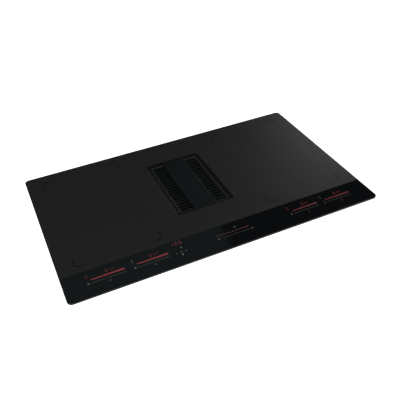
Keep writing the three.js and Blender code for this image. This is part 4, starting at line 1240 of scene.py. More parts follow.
@dataclass
class Display:
    """Everything that shines through the glossy band.

    A row is (left end, right end, y, bars, gap, height), a sign (kind, x, y, size) and a digit (height,
    width, line). Right of a slider's digit stand a stroke (step in x, width, height) and a plus (step in
    x, y, size). Its other signs are (y, size), in line with its keys or its icon.
    """

    z: float = 213.91
    bar_y: float = -206.0
    bar_h: tuple[float, float] = (3.2, 5.6)
    segments: int = 14
    segment_gap: float = 1.0
    ticks_y: float = -217.0
    ticks_h: float = 1.5
    ticks: int = 19
    ticks_gap: float = 2.4
    digit_y: float = -193.0
    digit: tuple[float, float, float] = (9.0, 5.2, 1.0)
    stroke: tuple[float, float, float] = (9.5, 1.1, 8.0)
    plus: tuple[float, float, float] = (16.0, -192.0, 5.4)
    dot_y: float = -189.0
    dot: tuple[float, float] = (2.4, 3.0)
    dot_dim: tuple[float, float] = (2.0, 3.0)
    clock: tuple[float, float] = (-196.0, 4.2)
    clock_dim: tuple[float, float] = (-196.0, 3.6)
    minus: tuple[float, float] = (-208.5, 3.4)
    oval: tuple[float, float] = (-217.0, 3.6)
    icon: tuple[float, float] = (-227.0, 3.0)
    sliders: tuple[Slider, ...] = (
        Slider("outer_left", -348, -269, -357, -309, -309, keys_lit=True, bright=True),
        Slider("inner_left", -238, -160, -246, -199.5, -198, keys_lit=False, bright=True),
        Slider("inner_right", 186, 258, 177, 221, 221.5, keys_lit=True, bright=False),
        Slider("outer_right", 284, 358, 277, 321, 323, keys_lit=False, bright=False),
    )
    timer: tuple[tuple[str, float], ...] = (("1", -141.5), ("2", -131.0), ("0", -120.5))
    timer_y: float = -183.0
    timer_digit: tuple[float, float, float] = (11.0, 5.4, 0.9)
    timer_signs: tuple[Sign, ...] = (
        (Glyph.CLOCK, -124.0, -201.0, 3.6),
        (Glyph.MINUS, -142.0, -217.0, 3.6),
        (Glyph.OVAL, -130.0, -216.5, 2.6),
        (Glyph.LOCK, -129.5, -225.5, 3.6),
        (Glyph.PLUS, -118.0, -217.0, 3.6),
    )
    fan_steps: Row = (-30.0, 39.0, -205.6, 9, 5.0, 4.6)
    fan_level: Row = (42.0, 57.0, -205.2, 2, 2.4, 3.4)
    fan_ticks: Row = (-18.0, 55.0, -216.7, 17, 2.6, 1.4)
    fan_minus: Sign = (Glyph.MINUS, 32.0, -193.0, 3.4)
    fan_signs: tuple[Sign, ...] = (
        (Glyph.CLOCK, 24.0, -193.0, 4.0),
        (Glyph.OVAL, -30.0, -217.0, 3.2),
        (Glyph.OVAL, 62.0, -217.0, 3.0),
    )

    def build(self) -> None:
        """Makes each slider, the timer and the keys of the extractor."""
        for slider in self.sliders:
            self.make_slider(slider)
        self.make_timer()
        self.make_extractor_keys()

    def make_slider(self, slider: Slider) -> None:
        """The lit bar, the ticks under it, the level above it and the column of keys at its left.

        Args:
            slider: where they lie.
        """
        lit, level, keys, signs = (Ink(self.z) for _ in range(4))
        lit.row(slider.x0, slider.x1, self.bar_y, self.segments, self.segment_gap, *self.bar_h)
        level.digit("0", slider.digit_x, self.digit_y, *self.digit)
        step, *stroke = self.stroke
        level.bar(slider.digit_x + step, self.digit_y, *stroke)
        step, *plus = self.plus
        level.glyph(Glyph.PLUS, slider.digit_x + step, *plus)
        keys.row(slider.x0, slider.x1, self.ticks_y, self.ticks, self.ticks_gap, self.ticks_h)
        if slider.keys_lit:
            level.bar(slider.keys_x, self.dot_y, *self.dot)
            level.glyph(Glyph.CLOCK, slider.keys_x, *self.clock)
        else:
            keys.bar(slider.keys_x, self.dot_y, *self.dot_dim)
            keys.glyph(Glyph.CLOCK, slider.keys_x, *self.clock_dim)
        keys.glyph(Glyph.MINUS, slider.keys_x, *self.minus)
        signs.glyph(Glyph.OVAL, slider.keys_x, *self.oval)
        signs.glyph(Glyph.PAUSE, slider.icon_x, *self.icon)
        lit.make(f"slider_bar_{slider.name}", LED_RED if slider.bright else LED_SOFT)
        level.make(f"slider_level_{slider.name}", LED_DIM)
        keys.make(f"slider_ticks_{slider.name}", ICON_DIM)
        signs.make(f"slider_signs_{slider.name}", ICON_WHITE if slider.bright else ICON_SOFT)

    def make_signs(self, name: str, places: Sequence[Sign]) -> None:
        """A piece of bright signs.

        Args:
            name: the piece's name.
            places: the signs.
        """
        signs = Ink(self.z)
        for sign in places:
            signs.glyph(*sign)
        signs.make(name, ICON_WHITE)

    def make_timer(self) -> None:
        """Three red figures and the keys of the clock and the child lock."""
        figures = Ink(self.z)
        for text, x in self.timer:
            figures.digit(text, x, self.timer_y, *self.timer_digit)
        figures.make("timer_figures", LED_DEEP)
        self.make_signs("timer_signs", self.timer_signs)

    def make_extractor_keys(self) -> None:
        """The row of fan steps, the ticks under it and the keys round it."""
        steps, lit, ticks = (Ink(self.z) for _ in range(3))
        steps.row(*self.fan_steps)
        lit.row(*self.fan_level)
        ticks.row(*self.fan_ticks)
        ticks.glyph(*self.fan_minus)
        steps.make("extractor_steps", LED_ROSE)
        lit.make("extractor_level", LED_WARM)
        ticks.make("extractor_ticks", ICON_DIM)
        self.make_signs("extractor_signs", self.fan_signs)


# ---------------------------------------------------------------------- housing
@dataclass(frozen=True)
class Screw:
    """A screw head along Z; its profile and its hexagon are in shares of its radius and height."""

    r: float
    h: float
    flange: Points = ((0, 0), (1, 0), (1, 0.22), (0.8, 0.36), (0, 0.36))
    key: float = 0.66
    key_z: tuple[float, float] = (0.3, 0.9)
    crown: float = 0.86
    crown_z: tuple[float, float] = (0.8, 1.0)
    sides: int = 14

    def head(self) -> Skin:
        """A round flange with a hexagon on it, whose top is drawn in.

        Returns:
            The pattern, ready to be repeated.
        """
        head = Skin()
        head.turned([(self.r * x, self.h * z) for x, z in self.flange], self.sides)
        angle = np.linspace(0, TURN, 6, endpoint=False)
        flat = self.key * self.r * np.column_stack([np.cos(angle), np.sin(angle)])
        head.prism(flat, *(self.h * z for z in self.key_z))
        head.prism(flat * self.crown, *(self.h * z for z in self.crown_z))
        return head


@dataclass
class Tray:
    """What is pressed into and screwed to the sheet-metal tray: stiffening beads, and its screws."""

    outline: Outline = Outline(796, 480, 10)
    bottom: float = 150.0
    beads_z: tuple[float, float] = (163.0, 187.0)
    bead: tuple[float, float] = (5.0, 1.3)
    bead_round: float = 0.9
    bead_end: Points = ((0, 0), (0.5, 0), (0.5, 0.2), (0.42, 0.7), (0.3, 1), (0, 1))
    bead_sides: int = 16
    long_bead: tuple[float, float] = (-155.0, 155.0)
    short_bead: tuple[float, float] = (-105.0, 105.0)
    corner_beads: tuple[tuple[float, float], ...] = ((-338.5, -188.5), (188.5, 338.5))
    screw: Screw = Screw(3.6, 2.6)
    screw_z: float = 203.0
    screws_x: tuple[float, ...] = (-370, -185, 0, 185, 370)
    screws_y: tuple[float, ...] = (-205, 0, 205)
    bracket_t: float = 2.3
    bracket_screws: tuple[float, ...] = (-158, -142, 142, 158)
    bracket_screw_z: float = 36.0

    def build(self) -> None:
        """Beads on the four walls, screws along them, and the brackets' screws."""
        skin = Skin()
        half_x, half_y = self.outline.w / 2, self.outline.d / 2
        for z in self.beads_z:
            for side in (-1, 1):
                self.bead_row(skin, self.long_bead, z, side * half_y, (0, side, 0))
                self.bead_row(skin, self.short_bead, z, side * half_x, (side, 0, 0))
            for span in self.corner_beads:
                self.bead_row(skin, span, z, half_y, (0, 1, 0))
        fit(skin, "tray_beads", "galvanised")
        self.make_screws(half_x, half_y)

    def bead_row(
        self, skin: Skin, span: tuple[float, float], z: float, face: float, out: Sequence[float]
    ) -> None:
        """One pressed bead along a wall: a low rail with round ends.

        Args:
            skin: where it goes.
            span: its two ends along the wall.
            z: its height.
            face: where the wall's face lies.
            out: the way that the wall looks.
        """
        w, h = self.bead
        ends = [(end, face, z) if out[1] else (face, end, z) for end in span]
        if out[0] - out[1] > 0:
            ends = ends[::-1]
        skin.rail(*ends, out, w, h, h * self.bead_round)
        dome = Skin()
        dome.turned([(w * r, h * rise) for r, rise in self.bead_end], self.bead_sides)
        skin.repeat(dome, ends, out)

    def make_screws(self, half_x: float, half_y: float) -> None:
        """Screws under the rim and two in each bracket.

        Args:
            half_x: the side walls' place.
            half_y: the front and back walls' place.
        """
        skin = Skin()
        head = self.screw.head()
        for side in (-1, 1):
            skin.repeat(head, [(x, side * half_y, self.screw_z) for x in self.screws_x], (0, side, 0))
            places = [(side * half_x, y, self.screw_z) for y in self.screws_y]
            face, z = side * (half_x + self.bracket_t), self.bottom + self.bracket_screw_z
            places += [(face, y, z) for y in self.bracket_screws]
            skin.repeat(head, places, (side, 0, 0))
        fit(skin, "tray_screws", "steel")


@dataclass
class Plenum:
    """The two mouldings under the hob: the tub, and the cover with the chamber round the well's foot.

    The chamber is (x0, x1, y0, y1), the channel beside it ends at (x, y), and the inlet is (x, y, r).
    """

    chamber: tuple[float, float, float, float] = (-108.0, 100.0, -92.0, 168.0)
    channel: tuple[float, float] = (360.0, 72.0)
    inlet: tuple[float, float, float] = (240.0, -15.0, 66.0)
    r: float = 12.0
    inner_r: float = 1.0
    wall: float = 2.5
    fillet: float = 2.0
    seam: float = 0.2
    tub_top: float = 38.0
    gap: float = 0.3
    top: float = 149.7
    flange: tuple[float, float] = (8.0, 2.8)
    edge: float = 4.0
    lip: tuple[float, float] = (3.0, 2.2)
    rib: tuple[float, float, float] = (2.2, 2.6, 0.9)
    rib_pitch: float = 26.0
    rib_end: float = 4.0
    rib_gap: tuple[float, float] = (2.0, 0.5)
    sink: float = 0.2
    screw: Screw = Screw(3.2, 2.4)
    screw_end: tuple[float, float] = (20.0, 30.0)

    def build(self) -> None:
        """Makes the tub, the cover, their ribs and their screws."""
        self.make_tub()
        self.make_cover()
        self.make_ribs()
        self.make_screws()

    def whole(self, by: float, z: float) -> np.ndarray:
        """The L-shaped outline of chamber and channel.

        Args:
            by: how far it is drawn in.
            z: its height.

        Returns:
            A ring.
        """
        x0, x1, y0, y1 = self.chamber
        far_x, far_y = self.channel
        corners = [(x0 + by, y0 + by), (far_x - by, y0 + by), (far_x - by, far_y - by)]
        corners += [(x1 - by, far_y - by), (x1 - by, y1 - by), (x0 + by, y1 - by)]
        return rounded(corners, max(self.r - by, self.inner_r), z)

    def shaft(self, by: float, z: float) -> np.ndarray:
        """The chamber's outline.

        Args:
            by: how far it is drawn in.
            z: its height.

        Returns:
            A ring.
        """
        x0, x1, y0, y1 = self.chamber
        corners = [(x0 + by, y0 + by), (x1 - by, y0 + by), (x1 - by, y1 - by), (x0 + by, y1 - by)]
        return rounded(corners, max(self.r - by, self.inner_r), z)

    def make_tub(self) -> None:
        """The tub: a floor with a rounded edge, walls, and a lip under the joint."""
        w, e, top, (out, t) = self.wall, self.edge, self.tub_top, self.lip
        foot = w + self.fillet
        profile = [(e - a, b) for a, b in arc(0, e, e, 270, 360, steps=5)]
        profile += [(0, top - t), (-out, top - t), (-out, top), (w, top), (w, foot), (foot, w)]
        shell = [self.whole(by, z) for by, z in profile]
        skin = Skin()
        skin.cap(shell[0], up=False)
        skin.sheet(np.stack(shell), around=True)
        skin.cap(shell[-1])
        fit(skin, "plenum_tub_moulding", "black_plastic", "plenum_tub")

    def make_cover(self) -> None:
        """The cover: the chamber's shaft with its flange, and the channel's lid with the inlet."""
        w, top, (reach, flange_t) = self.wall, self.top, self.flange
        z0, z1, bend = self.tub_top + self.gap, self.tub_top + self.gap + w, self.fillet
        under = top - flange_t
        outer = [(0.0, z1 - self.seam), (0.0, under - bend), (-bend, under), (-reach, under)]
        profile = [(w, top), (w, z0), (0.0, z0), *outer, (-reach, top)]
        skin = Skin()
        skin.sweep([self.shaft(by, z) for by, z in profile][::-1])
        lid = self.lid(z0)
        eye = circle(*self.inlet, z0)
        raised, lifted = (ring + [0, 0, w] for ring in (lid, eye))
        skin.sheet(np.stack([lid, raised]), around=True)
        skin.sheet(np.stack([lifted, eye]), around=True)
        skin.holed(lid, eye, up=False)
        skin.holed(raised, lifted)
        fit(skin, "plenum_cover_moulding", "black_plastic", "plenum_cover")

    def lid(self, z: float) -> np.ndarray:
        """The channel's outline, with sharp corners where it meets the shaft.

        Args:
            z: its height.

        Returns:
            A ring.
        """
        x1, y0, (far_x, far_y) = self.chamber[1] - self.wall, self.chamber[2], self.channel
        ring = rounded([(x1, y0), (far_x, y0), (far_x, far_y), (x1, far_y)], self.r, z)
        sharp = np.abs(ring[:, 0] - x1) <= self.r
        ring[sharp, 0] = x1
        ring[:, 1] = np.where(sharp, np.where(ring[:, 1] < 0, y0, far_y), ring[:, 1])
        return ring

    def make_ribs(self) -> None:
        """Upright ribs on the outer walls of both mouldings."""
        skin = Skin()
        x0, x1, y0, y1 = self.chamber
        far_x, far_y = self.channel
        low = (self.edge + self.rib_gap[0], self.tub_top - self.lip[1])
        high = (self.tub_top + self.gap + self.rib_gap[1], self.top - self.flange[1])
        walls = [
            ((x0, far_x), y0, (0, -1, 0), low),
            ((x0, x1), y0, (0, -1, 0), high),
            ((x0, x1), y1, (0, 1, 0), low),
            ((x0, x1), y1, (0, 1, 0), high),
            ((y0, y1), x0, (-1, 0, 0), low),
            ((y0, y1), x0, (-1, 0, 0), high),
            ((y0, far_y), far_x, (1, 0, 0), low),
            ((far_y, y1), x1, (1, 0, 0), low),
            ((y0, y1), x1, (1, 0, 0), high),
        ]
        margin = self.r + self.rib_end
        for (a, b), face, out, (z0, z1) in walls:
            count = int((b - a - 2 * self.r) / self.rib_pitch)
            for along in np.linspace(a + margin, b - margin, count + 1):
                foot = (along, face - out[1] * self.sink) if out[1] else (face - out[0] * self.sink, along)
                skin.rail((*foot, z0), (*foot, z1), out, *self.rib)
        fit(skin, "plenum_ribs", "black_plastic")

    def make_screws(self) -> None:
        """Screws from below through the chamber's flange."""
        x0, x1, y0, y1 = self.chamber
        out, z = self.flange[0] / 2, self.top - self.flange[1]
        near, wide = self.screw_end
        places = [(x, y, z) for x in (x0 + near, (x0 + x1) / 2, x1 - near) for y in (y0 - out, y1 + out)]
        places += [(x, y, z) for y in (y0 + wide, (y0 + y1) / 2, y1 - wide) for x in (x0 - out, x1 + out)]
        skin = Skin()
        skin.repeat(self.screw.head(), places, (0, 0, -1))
        fit(skin, "plenum_screws", "steel")


# ---------------------------------------------------------------------- blower
@dataclass
class Blower:
    """The blower's casing in two halves; its heights are its underside, its joint and its top.

    The mouth is (middle in x from the axis, end in y from the axis, width).
    """

    axis: tuple[float, float] = (240.0, -15.0)
    z: tuple[float, float, float] = (41.1, 84.8, 126.8)
    gap: float = 0.3
    wall: float = 2.5
    fillet: float = 2.0
    r0: float = 98.0
    r1: float = 138.0
    tongue: float = math.radians(70)
    lead: float = 8.0
    mouth: tuple[float, float, float] = (28.0, 165.0, 222.0)
    inlet_r: float = 66.0
    mount_r: float = 38.0
    edge: float = 5.0
    lip: tuple[float, float] = (3.0, 2.0)
    steps: int = 90
    sink: float = 0.2
    clip: tuple[float, float, float] = (7.0, 2.2, 0.8)
    clip_z: tuple[float, float] = (-8.0, 8.3)
    clip_sink: float = 0.6
    clip_start: int = 6
    clip_pitch: int = 9
    rib: tuple[float, float, float] = (2.4, 2.2, 0.9)
    rib_r: tuple[float, float] = (62.0, 86.0)
    ribs: int = 12
    bead: tuple[float, float] = (88.0, 1.8)

    def build(self) -> None:
        """Makes the two halves, and their clips and ribs."""
        low, split, top = self.z
        self.make_half("scroll_lower", (low, split), self.inlet_r, up=False)
        self.make_half("scroll_upper", (top, split + self.gap), self.mount_r, up=True)
        self.make_clips()

    def strip(self, by: float, z: float) -> np.ndarray:
        """The scroll's outline as an open line, from the mouth's left end round to its right end.

        The radius grows evenly from r0 at the tongue to r1 at the mouth's right wall:
        r = r0 + (r1 - r0) t - by, at the angle tongue + t (360 - tongue).

        Args:
            by: how far it is drawn in.
            z: its height.

        Returns:
            An array (points, 3), anticlockwise.
        """
        mid, far, w = self.mouth
        left, right = mid - w / 2, mid + w / 2 - by
        t = np.linspace(0, 1, self.steps + 1)
        angle = self.tongue + t * (TURN - self.tongue)
        r = self.r0 + (self.r1 - self.r0) * t - by
        curve = np.column_stack([np.minimum(r * np.cos(angle), right), r * np.sin(angle)])
        tip = self.r0 * np.array([math.cos(self.tongue), math.sin(self.tongue)])
        corner = np.array([left, far - self.lead])
        run = (tip - corner) / np.linalg.norm(tip - corner)
        inward = by * np.array([-run[1], run[0]])
        bend = corner + inward + (by - inward[0]) / run[0] * run
        flat = np.vstack([[left + by, far], bend, tip + inward, curve, [right, far]])
        return np.column_stack([flat + self.axis, np.full(len(flat), z)])

    def make_half(self, node: str, z: tuple[float, float], hole: float, up: bool) -> None:
        """One half: an end plate with a round hole, a wall with a rounded edge, and a lip at the joint.

        Args:
            node: the node that it replaces.
            z: heights of the end plate's face and of the joint.
            hole: radius of the hole.
            up: whether the end plate is the top one.
        """
        end, joint = z
        way = -1 if up else 1
        e, w, foot, (out, t) = self.edge, self.wall, self.wall + self.fillet, self.lip
        profile = [(e - a, end + way * b) for a, b in arc(0, e, e, 270, 360, steps=5)]
        profile += [(0, joint - way * t), (-out, joint - way * t), (-out, joint), (w, joint)]
        profile += [(w, end + way * foot), (foot, end + way * w)]
        strips = np.stack([self.strip(by, height) for by, height in profile])
        eye, inner_eye = (circle(*self.axis, hole, height) for height in (end, end + way * w))
        skin = Skin()
        skin.sheet(strips[::way])
        skin.holed(strips[0], eye, up=up)
        skin.holed(strips[-1], inner_eye, up=not up)
        skin.sheet(np.stack([inner_eye, eye])[::way], around=True)
        skin.cap(strips[:, 0], up=not up)
        skin.cap(strips[:, -1], up=up)
        fit(skin, f"{node}_half", "black_plastic", node)

    def make_clips(self) -> None:
        """Snap clips over the joint, ribs on the end plate, and a bead round the motor's opening."""
        skin = Skin()
        _, split, top = self.z
        out, ends = self.lip[0], np.array([[0, 0, z] for z in self.clip_z])
        line, wall = (self.strip(by, split)[3:-1] for by in (-out, 0))
        for i in range(self.clip_start, len(line) - self.clip_start, self.clip_pitch):
            way = (line[i] - wall[i]) / np.linalg.norm(line[i] - wall[i])
            skin.rail(*(wall[i] + way * (out - self.clip_sink) + ends), way, *self.clip)
        for i in range(self.ribs):
            angle = TURN * (i + 0.5) / self.ribs
            way = np.array([math.cos(angle), math.sin(angle), 0.0])
            start, end = (np.array([*self.axis, top - self.sink]) + way * r for r in self.rib_r)
            skin.rail(start, end, UP, *self.rib)
        r, bead = self.bead
        section = arc(r, top - self.sink, bead, 0, 180, steps=6)
        skin.turned([*section, section[0]], sides=72, centre=self.axis)
        fit(skin, "casing_clips", "black_plastic")


@dataclass
class Duct:
    """The outlet duct behind the blower; its profile is given as (drawn in by, distance from an end)."""

    x: float = 268.0
    z: float = 83.95
    w: float = 222.0
    h: float = 89.0
    r: float = 6.0
    inner_r: float = 0.6
    y: tuple[float, float] = (150.3, 240.0)
    rim: Points = ((0, 6), (-1.0, 5.5), (-1.5, 4.5), (-1.5, 1.5), (-1.0, 0.3), (-0.4, 0), (2.5, 0))
    seat: Points = ((2.5, 6), (6.5, 6), (6.5, 4), (2.5, 4), (2.5, 0))
    flange: tuple[float, float, float] = (8.8, 3.0, 0.8)
    flange_off: float = 3.6
    flange_top: float = 8.0
    ribs: tuple[float, float] = (30.0, 55.0)
    rib: tuple[float, float, float] = (2.2, 1.6, 0.7)
    rib_end: float = 8.0
    sink: float = 0.2
    screw: Screw = Screw(3.0, 2.2)
    screw_at: tuple[float, float, float, float] = (4.0, 3.0, 12.0, 8.0)

    def build(self) -> None:
        """A rectangular tube with a beaded rim, a seat for the flap, ribs, and a flange at the casing."""
        y0, y1 = self.y
        profile = [(0.0, y0), *((by, y1 - y) for by, y in self.rim), *((by, y0 + y) for by, y in self.seat)]
        skin = Skin()
        skin.sweep([self.section(by, y) for by, y in profile])
        half, low, high = self.w / 2, self.z - self.h / 2, self.z + self.h / 2
        out, end, sink = half + self.flange_off, self.rib_end, self.sink
        for x in (self.x - out, self.x + out):
            skin.rail((x, y0, low), (x, y0, high + self.flange_top), (0, 1, 0), *self.flange)
        z = high + self.flange_off
        skin.rail((self.x + half, y0, z), (self.x - half, y0, z), (0, 1, 0), *self.flange)
        for y in (y0 + step for step in self.ribs):
            ends = (self.x - half + end, self.x + half - end)
            skin.rail(*((x, y, high - sink) for x in ends), UP, *self.rib)
            for side in (-1, 1):
                x = self.x + side * (half - sink)
                skin.rail((x, y, low + end), (x, y, high - end), (side, 0, 0), *self.rib)
        fit(skin, "outlet_duct_moulding", "black_plastic", "outlet_duct")
        across, back, above, below = self.screw_at
        heights = (low + above, high - below)
        sides = (self.x - half - across, self.x + half + across)
        heads = Skin()
        heads.repeat(self.screw.head(), [(x, y0 + back, z) for x in sides for z in heights], (0, 1, 0))
        fit(heads, "duct_screws", "steel")

    def section(self, by: float, y: float) -> np.ndarray:
        """The duct's rounded rectangle across Y, anticlockwise seen from the back.

        Args:
            by: how far it is drawn in.
            y: its place.

        Returns:
            A ring.
        """
        r = max(self.r - by, self.inner_r)
        ring = Outline(self.w - 2 * by, self.h - 2 * by, r, -self.x, self.z).ring(y, steps=6)
        return np.column_stack([-ring[:, 0], ring[:, 2], ring[:, 1]])


# ---------------------------------------------------------------------- grease filter
@dataclass
class Filter:
    """The filter's handle, bent from round rod and spot-welded to two feet."""

    x: float = -2.5
    y: float = 38.0
    half: float = 60.5
    z: float = 183.9
    h: float = 12.0
    r: float = 2.0
    bend: float = 6.0
    foot: tuple[float, float, float] = (5.4, 12.0, 1.5)
    foot_r: float = 1.6
    foot_edge: float = 0.4

    def build(self) -> None:
        """The rod runs up, round a quarter circle, across and down again to its rounded feet."""
        w, d, t = self.foot
        low = self.z + t / 2
        top, b = low + self.h, self.bend
        left = arc(b - self.half, top - b, b, 180, 90, steps=8)
        right = arc(self.half - b, top - b, b, 90, 0, steps=8)
        line = np.array([(-self.half, low), *left, *right, (self.half, low)])
        path = np.column_stack([self.x + line[:, 0], np.full(len(line), self.y), line[:, 1]])
        skin = Skin()
        skin.tube(path, self.r, sides=16)
        for x in (self.x - self.half, self.x + self.half):
            skin.block(Outline(w, d, self.foot_r, x, self.y), self.z, self.z + t, self.foot_edge)
        fit(skin, "filter_bail", "steel", "filter_handle", body="grease_filter")


# ---------------------------------------------------------------------- coils
@dataclass
class Coils:
    """The four windings: one strand each, wound in a flat spiral from the eye to the rim."""

    outer: Outline = Outline(200, 172, 50)
    eye: Outline = Outline(66, 38, 16)
    z: float = 203.0
    t: float = 5.6
    thinner: float = 0.3
    turns: int = 13
    steps: int = 7
    places: tuple[tuple[str, float, float], ...] = (
        ("front_left", -263.5, -52.5),
        ("back_left", -263.5, 130.5),
        ("front_right", 263.5, -52.5),
        ("back_right", 263.5, 130.5),
    )

    def build(self) -> None:
        """One piece for each winding."""
        half = self.t / 2
        for name, x, y in self.places:
            skin = Skin()
            skin.tube(self.spiral() + [x, y, self.z + half], half - self.thinner, sides=10)
            fit(skin, f"coil_strand_{name}", "copper", f"coil_winding_{name}")

    def spiral(self) -> np.ndarray:
        """The strand's middle line: a rounded rectangle whose size grows evenly with the way along it.

        With f from 0 to 1 over all turns, width, depth and corner radius are (1 - f) of the eye's and
        f of the rim's, each drawn in by half a strand.

        Returns:
            An array (points, 3) about the coil's middle.
        """
        half = self.t / 2
        inner, outer = self.eye.inset(-half), self.outer.inset(half)
        step = np.arange(self.turns * 4 * (self.steps + 1))
        f = step / step[-1]
        corner = step // (self.steps + 1) % 4
        angle = (corner + (step % (self.steps + 1)) / self.steps) * math.pi / 2
        sizes = ((inner.w, outer.w), (inner.d, outer.d), (inner.r, outer.r))
        w, d, r = ((1 - f) * first + f * last for first, last in sizes)
        x = np.where((corner == 0) | (corner == 3), 1, -1) * (w / 2 - r) + r * np.cos(angle)
        y = np.where(corner < 2, 1, -1) * (d / 2 - r) + r * np.sin(angle)
        return np.column_stack([x, y, np.zeros(len(step))])


# ---------------------------------------------------------------------- power boards
@dataclass
class BoardParts:
    """What is soldered to the two power boards beside the choke and the heat sink.

    The drums are (x, y, r, h) and the others (x, y, w, d, h), with x measured outwards. The parts of a
    drum's profile are (drawn in by, height), from its foot or from its top.
    """

    top: float = 161.6
    edge: float = 0.8
    drums: tuple[tuple[float, ...], ...] = (
        (283, -118, 10.5, 25), (283, -94, 10.5, 25), (283, -70, 10.5, 25), (355, 78, 5, 12), (342, 78, 5, 12),
    )
    films: tuple[tuple[float, ...], ...] = (
        (322, -110, 34, 15, 22), (322, -86, 34, 15, 22), (284, -36, 15, 31, 24), (284, 4, 15, 31, 24),
        (338, -34, 28, 12, 15), (338, -14, 28, 12, 15), (170, 70, 18, 30, 10),
    )
    plugs: tuple[tuple[float, ...], ...] = (
        (270, 84, 26, 8, 9), (300, 84, 18, 8, 9), (361, -60, 8, 24, 11), (361, -96, 8, 30, 11),
        (172, 20, 8, 34, 9),
    )
    chips: tuple[tuple[float, ...], ...] = (
        (310, -52, 12, 12, 1.6), (316, 72, 9, 14, 2.2), (171, -30, 10, 10, 1.6), (170, -70, 8, 16, 2.2),
    )
    crimp: Points = ((0.5, 0), (0, 0.6), (0, 2.4), (0.7, 3.2), (0, 4))
    shoulder: Points = ((0, -0.8), (0.3, -0.2), (0.9, 0))
    bare: Points = ((1.2, -0.1), (1.4, 0.2), (2.0, 0.1))
    drum_sides: int = 28

    def build(self) -> None:
        """The same parts on either side, mirrored about the middle of the hob."""
        for name, side in (("left", -1), ("right", 1)):
            skin = Skin()
            for x, y, r, h in self.drums:
                self.drum(skin, (side * x, y), r, self.top + h)
            for group, slot in ((self.films, 1), (self.plugs, 1), (self.chips, 2)):
                for x, y, w, d, h in group:
                    plan = Outline(w, d, self.edge, side * x, y)
                    skin.block(plan, self.top, self.top + h, min(self.edge, h / 3), slot)
            finishes = [FINISHES[slot] for slot in ("aluminium", "grey_plastic", "black_plastic")]
            dress(skin.make(f"board_parts_{name}", *finishes), "hob", "grey_plastic")

    def drum(self, skin: Skin, centre: tuple[float, float], r: float, top: float) -> None:
        """A capacitor: a sleeve with a crimp near its foot, and a bare top with a sunk middle.

        Args:
            skin: where it goes.
            centre: its axis.
            r: its radius.
            top: height of its top.
        """
        foot = [(r - by, self.top + z) for by, z in self.crimp]
        head = [(r - by, top + z) for by, z in self.shoulder]
        skin.turned([(0, self.top), *foot, *head, (0, top)], self.drum_sides, centre, slot=2)
        cap = [(r - by, top + z) for by, z in self.bare]
        skin.turned([(0, cap[0][1]), *cap, (0, cap[-1][1])], self.drum_sides, centre)


# ---------------------------------------------------------------------- carried-over nodes
NODE_SLOTS = {
    "galvanised": ("tray_housing", "fixing_bracket_", "motor_rotor", "motor_mount"),
    "black_plastic": ("intake_well", "plenum_", "scroll_", "outlet_duct", "cooling_fan_", "cable_gland"),
    "grey_plastic": (
        "drip_tray", "inlet_ring", "impeller", "non_return_flap", "control_carrier", "terminal_",
    ),
    "steel": ("filter_frame", "filter_handle", "motor_shaft", "flap_pin"),
    "filter_aluminium": ("filter_mesh",),
    "aluminium": ("coil_plate_", "heat_sink_"),
    "copper": ("motor_stator", "coil_winding_"),
    "ferrite": ("coil_former_",),
    "sensor_white": ("coil_sensor_",),
    "mica": ("mica_sheet_",),
    "circuit": ("power_board_", "control_board"),
    "light_guide": ("light_guide",),
}


def dress_nodes() -> None:
    """Gives every CAD node that stays the procedural material of its slot."""
    for slot, starts in NODE_SLOTS.items():
        material = FINISHES[slot].material()
        for name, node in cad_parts.items():
            if name.startswith(starts):
                node.data.materials.clear()
                node.data.materials.append(material)
                LOG.info("%s: carried over in %s", name, slot)


# ---------------------------------------------------------------------- studio
@dataclass(frozen=True)
class White(Dressing):
    """A pale stage surface that takes the object's shadow and shows white to the camera."""

    name: str
    albedo: float = 0.8
    size: float = 8.0
    uneven: float = 0.01
    lift: float = 0.84

    def build(self, net: Net) -> None:
        """Diffuse paint, with a plain lift for camera, glossy and transmission rays.

        Args:
            net: the tree's builder.
        """
        grain = net.noise(net.place(), self.size, 2.0).over(0.0, 1.0)
        low, high = (shade((self.albedo,) * 3, 1 + sign * self.uneven) for sign in (-1, 1))
        paint = net.add("ShaderNodeBsdfDiffuse", None, {"Color": net.blend(grain, low, high)})
        inputs = {"Color": WHITE, "Strength": net.seen() * self.lift}
        light = net.add("ShaderNodeEmission", None, inputs)
        net.surface(net.add("ShaderNodeAddShader", None, {0: paint, 1: light}))


@dataclass(frozen=True)
class Card(Dressing):
    """A studio card that only reflections see."""

    name: str
    colour: Colour
    strength: float = 1.0

    def build(self, net: Net) -> None:
        """An even emission.

        Args:
            net: the tree's builder.
        """
        inputs = {"Color": (*self.colour, 1.0), "Strength": self.strength}
        net.surface(net.add("ShaderNodeEmission", None, inputs))


@dataclass(frozen=True)
class Lamp:
    """A square area lamp, in metres and watts, that looks at the middle of the glass."""

    name: str
    place: tuple[float, float, float]
    size: float
    power: float
    aim: tuple[float, float, float] = (0.0, 0.0, 0.2)

    def build(self) -> None:
        """Hangs the lamp in the scene."""
        data = bpy.data.lights.new(self.name, "AREA")
        data.size = self.size
        data.energy = self.power
        lamp = bpy.data.objects.new(self.name, data)
        turn = (Vector(self.aim) - Vector(self.place)).to_track_quat("-Z", "Y").to_matrix().to_4x4()
        lamp.matrix_world = Matrix.Translation(self.place) @ turn
        bpy.context.scene.collection.objects.link(lamp)


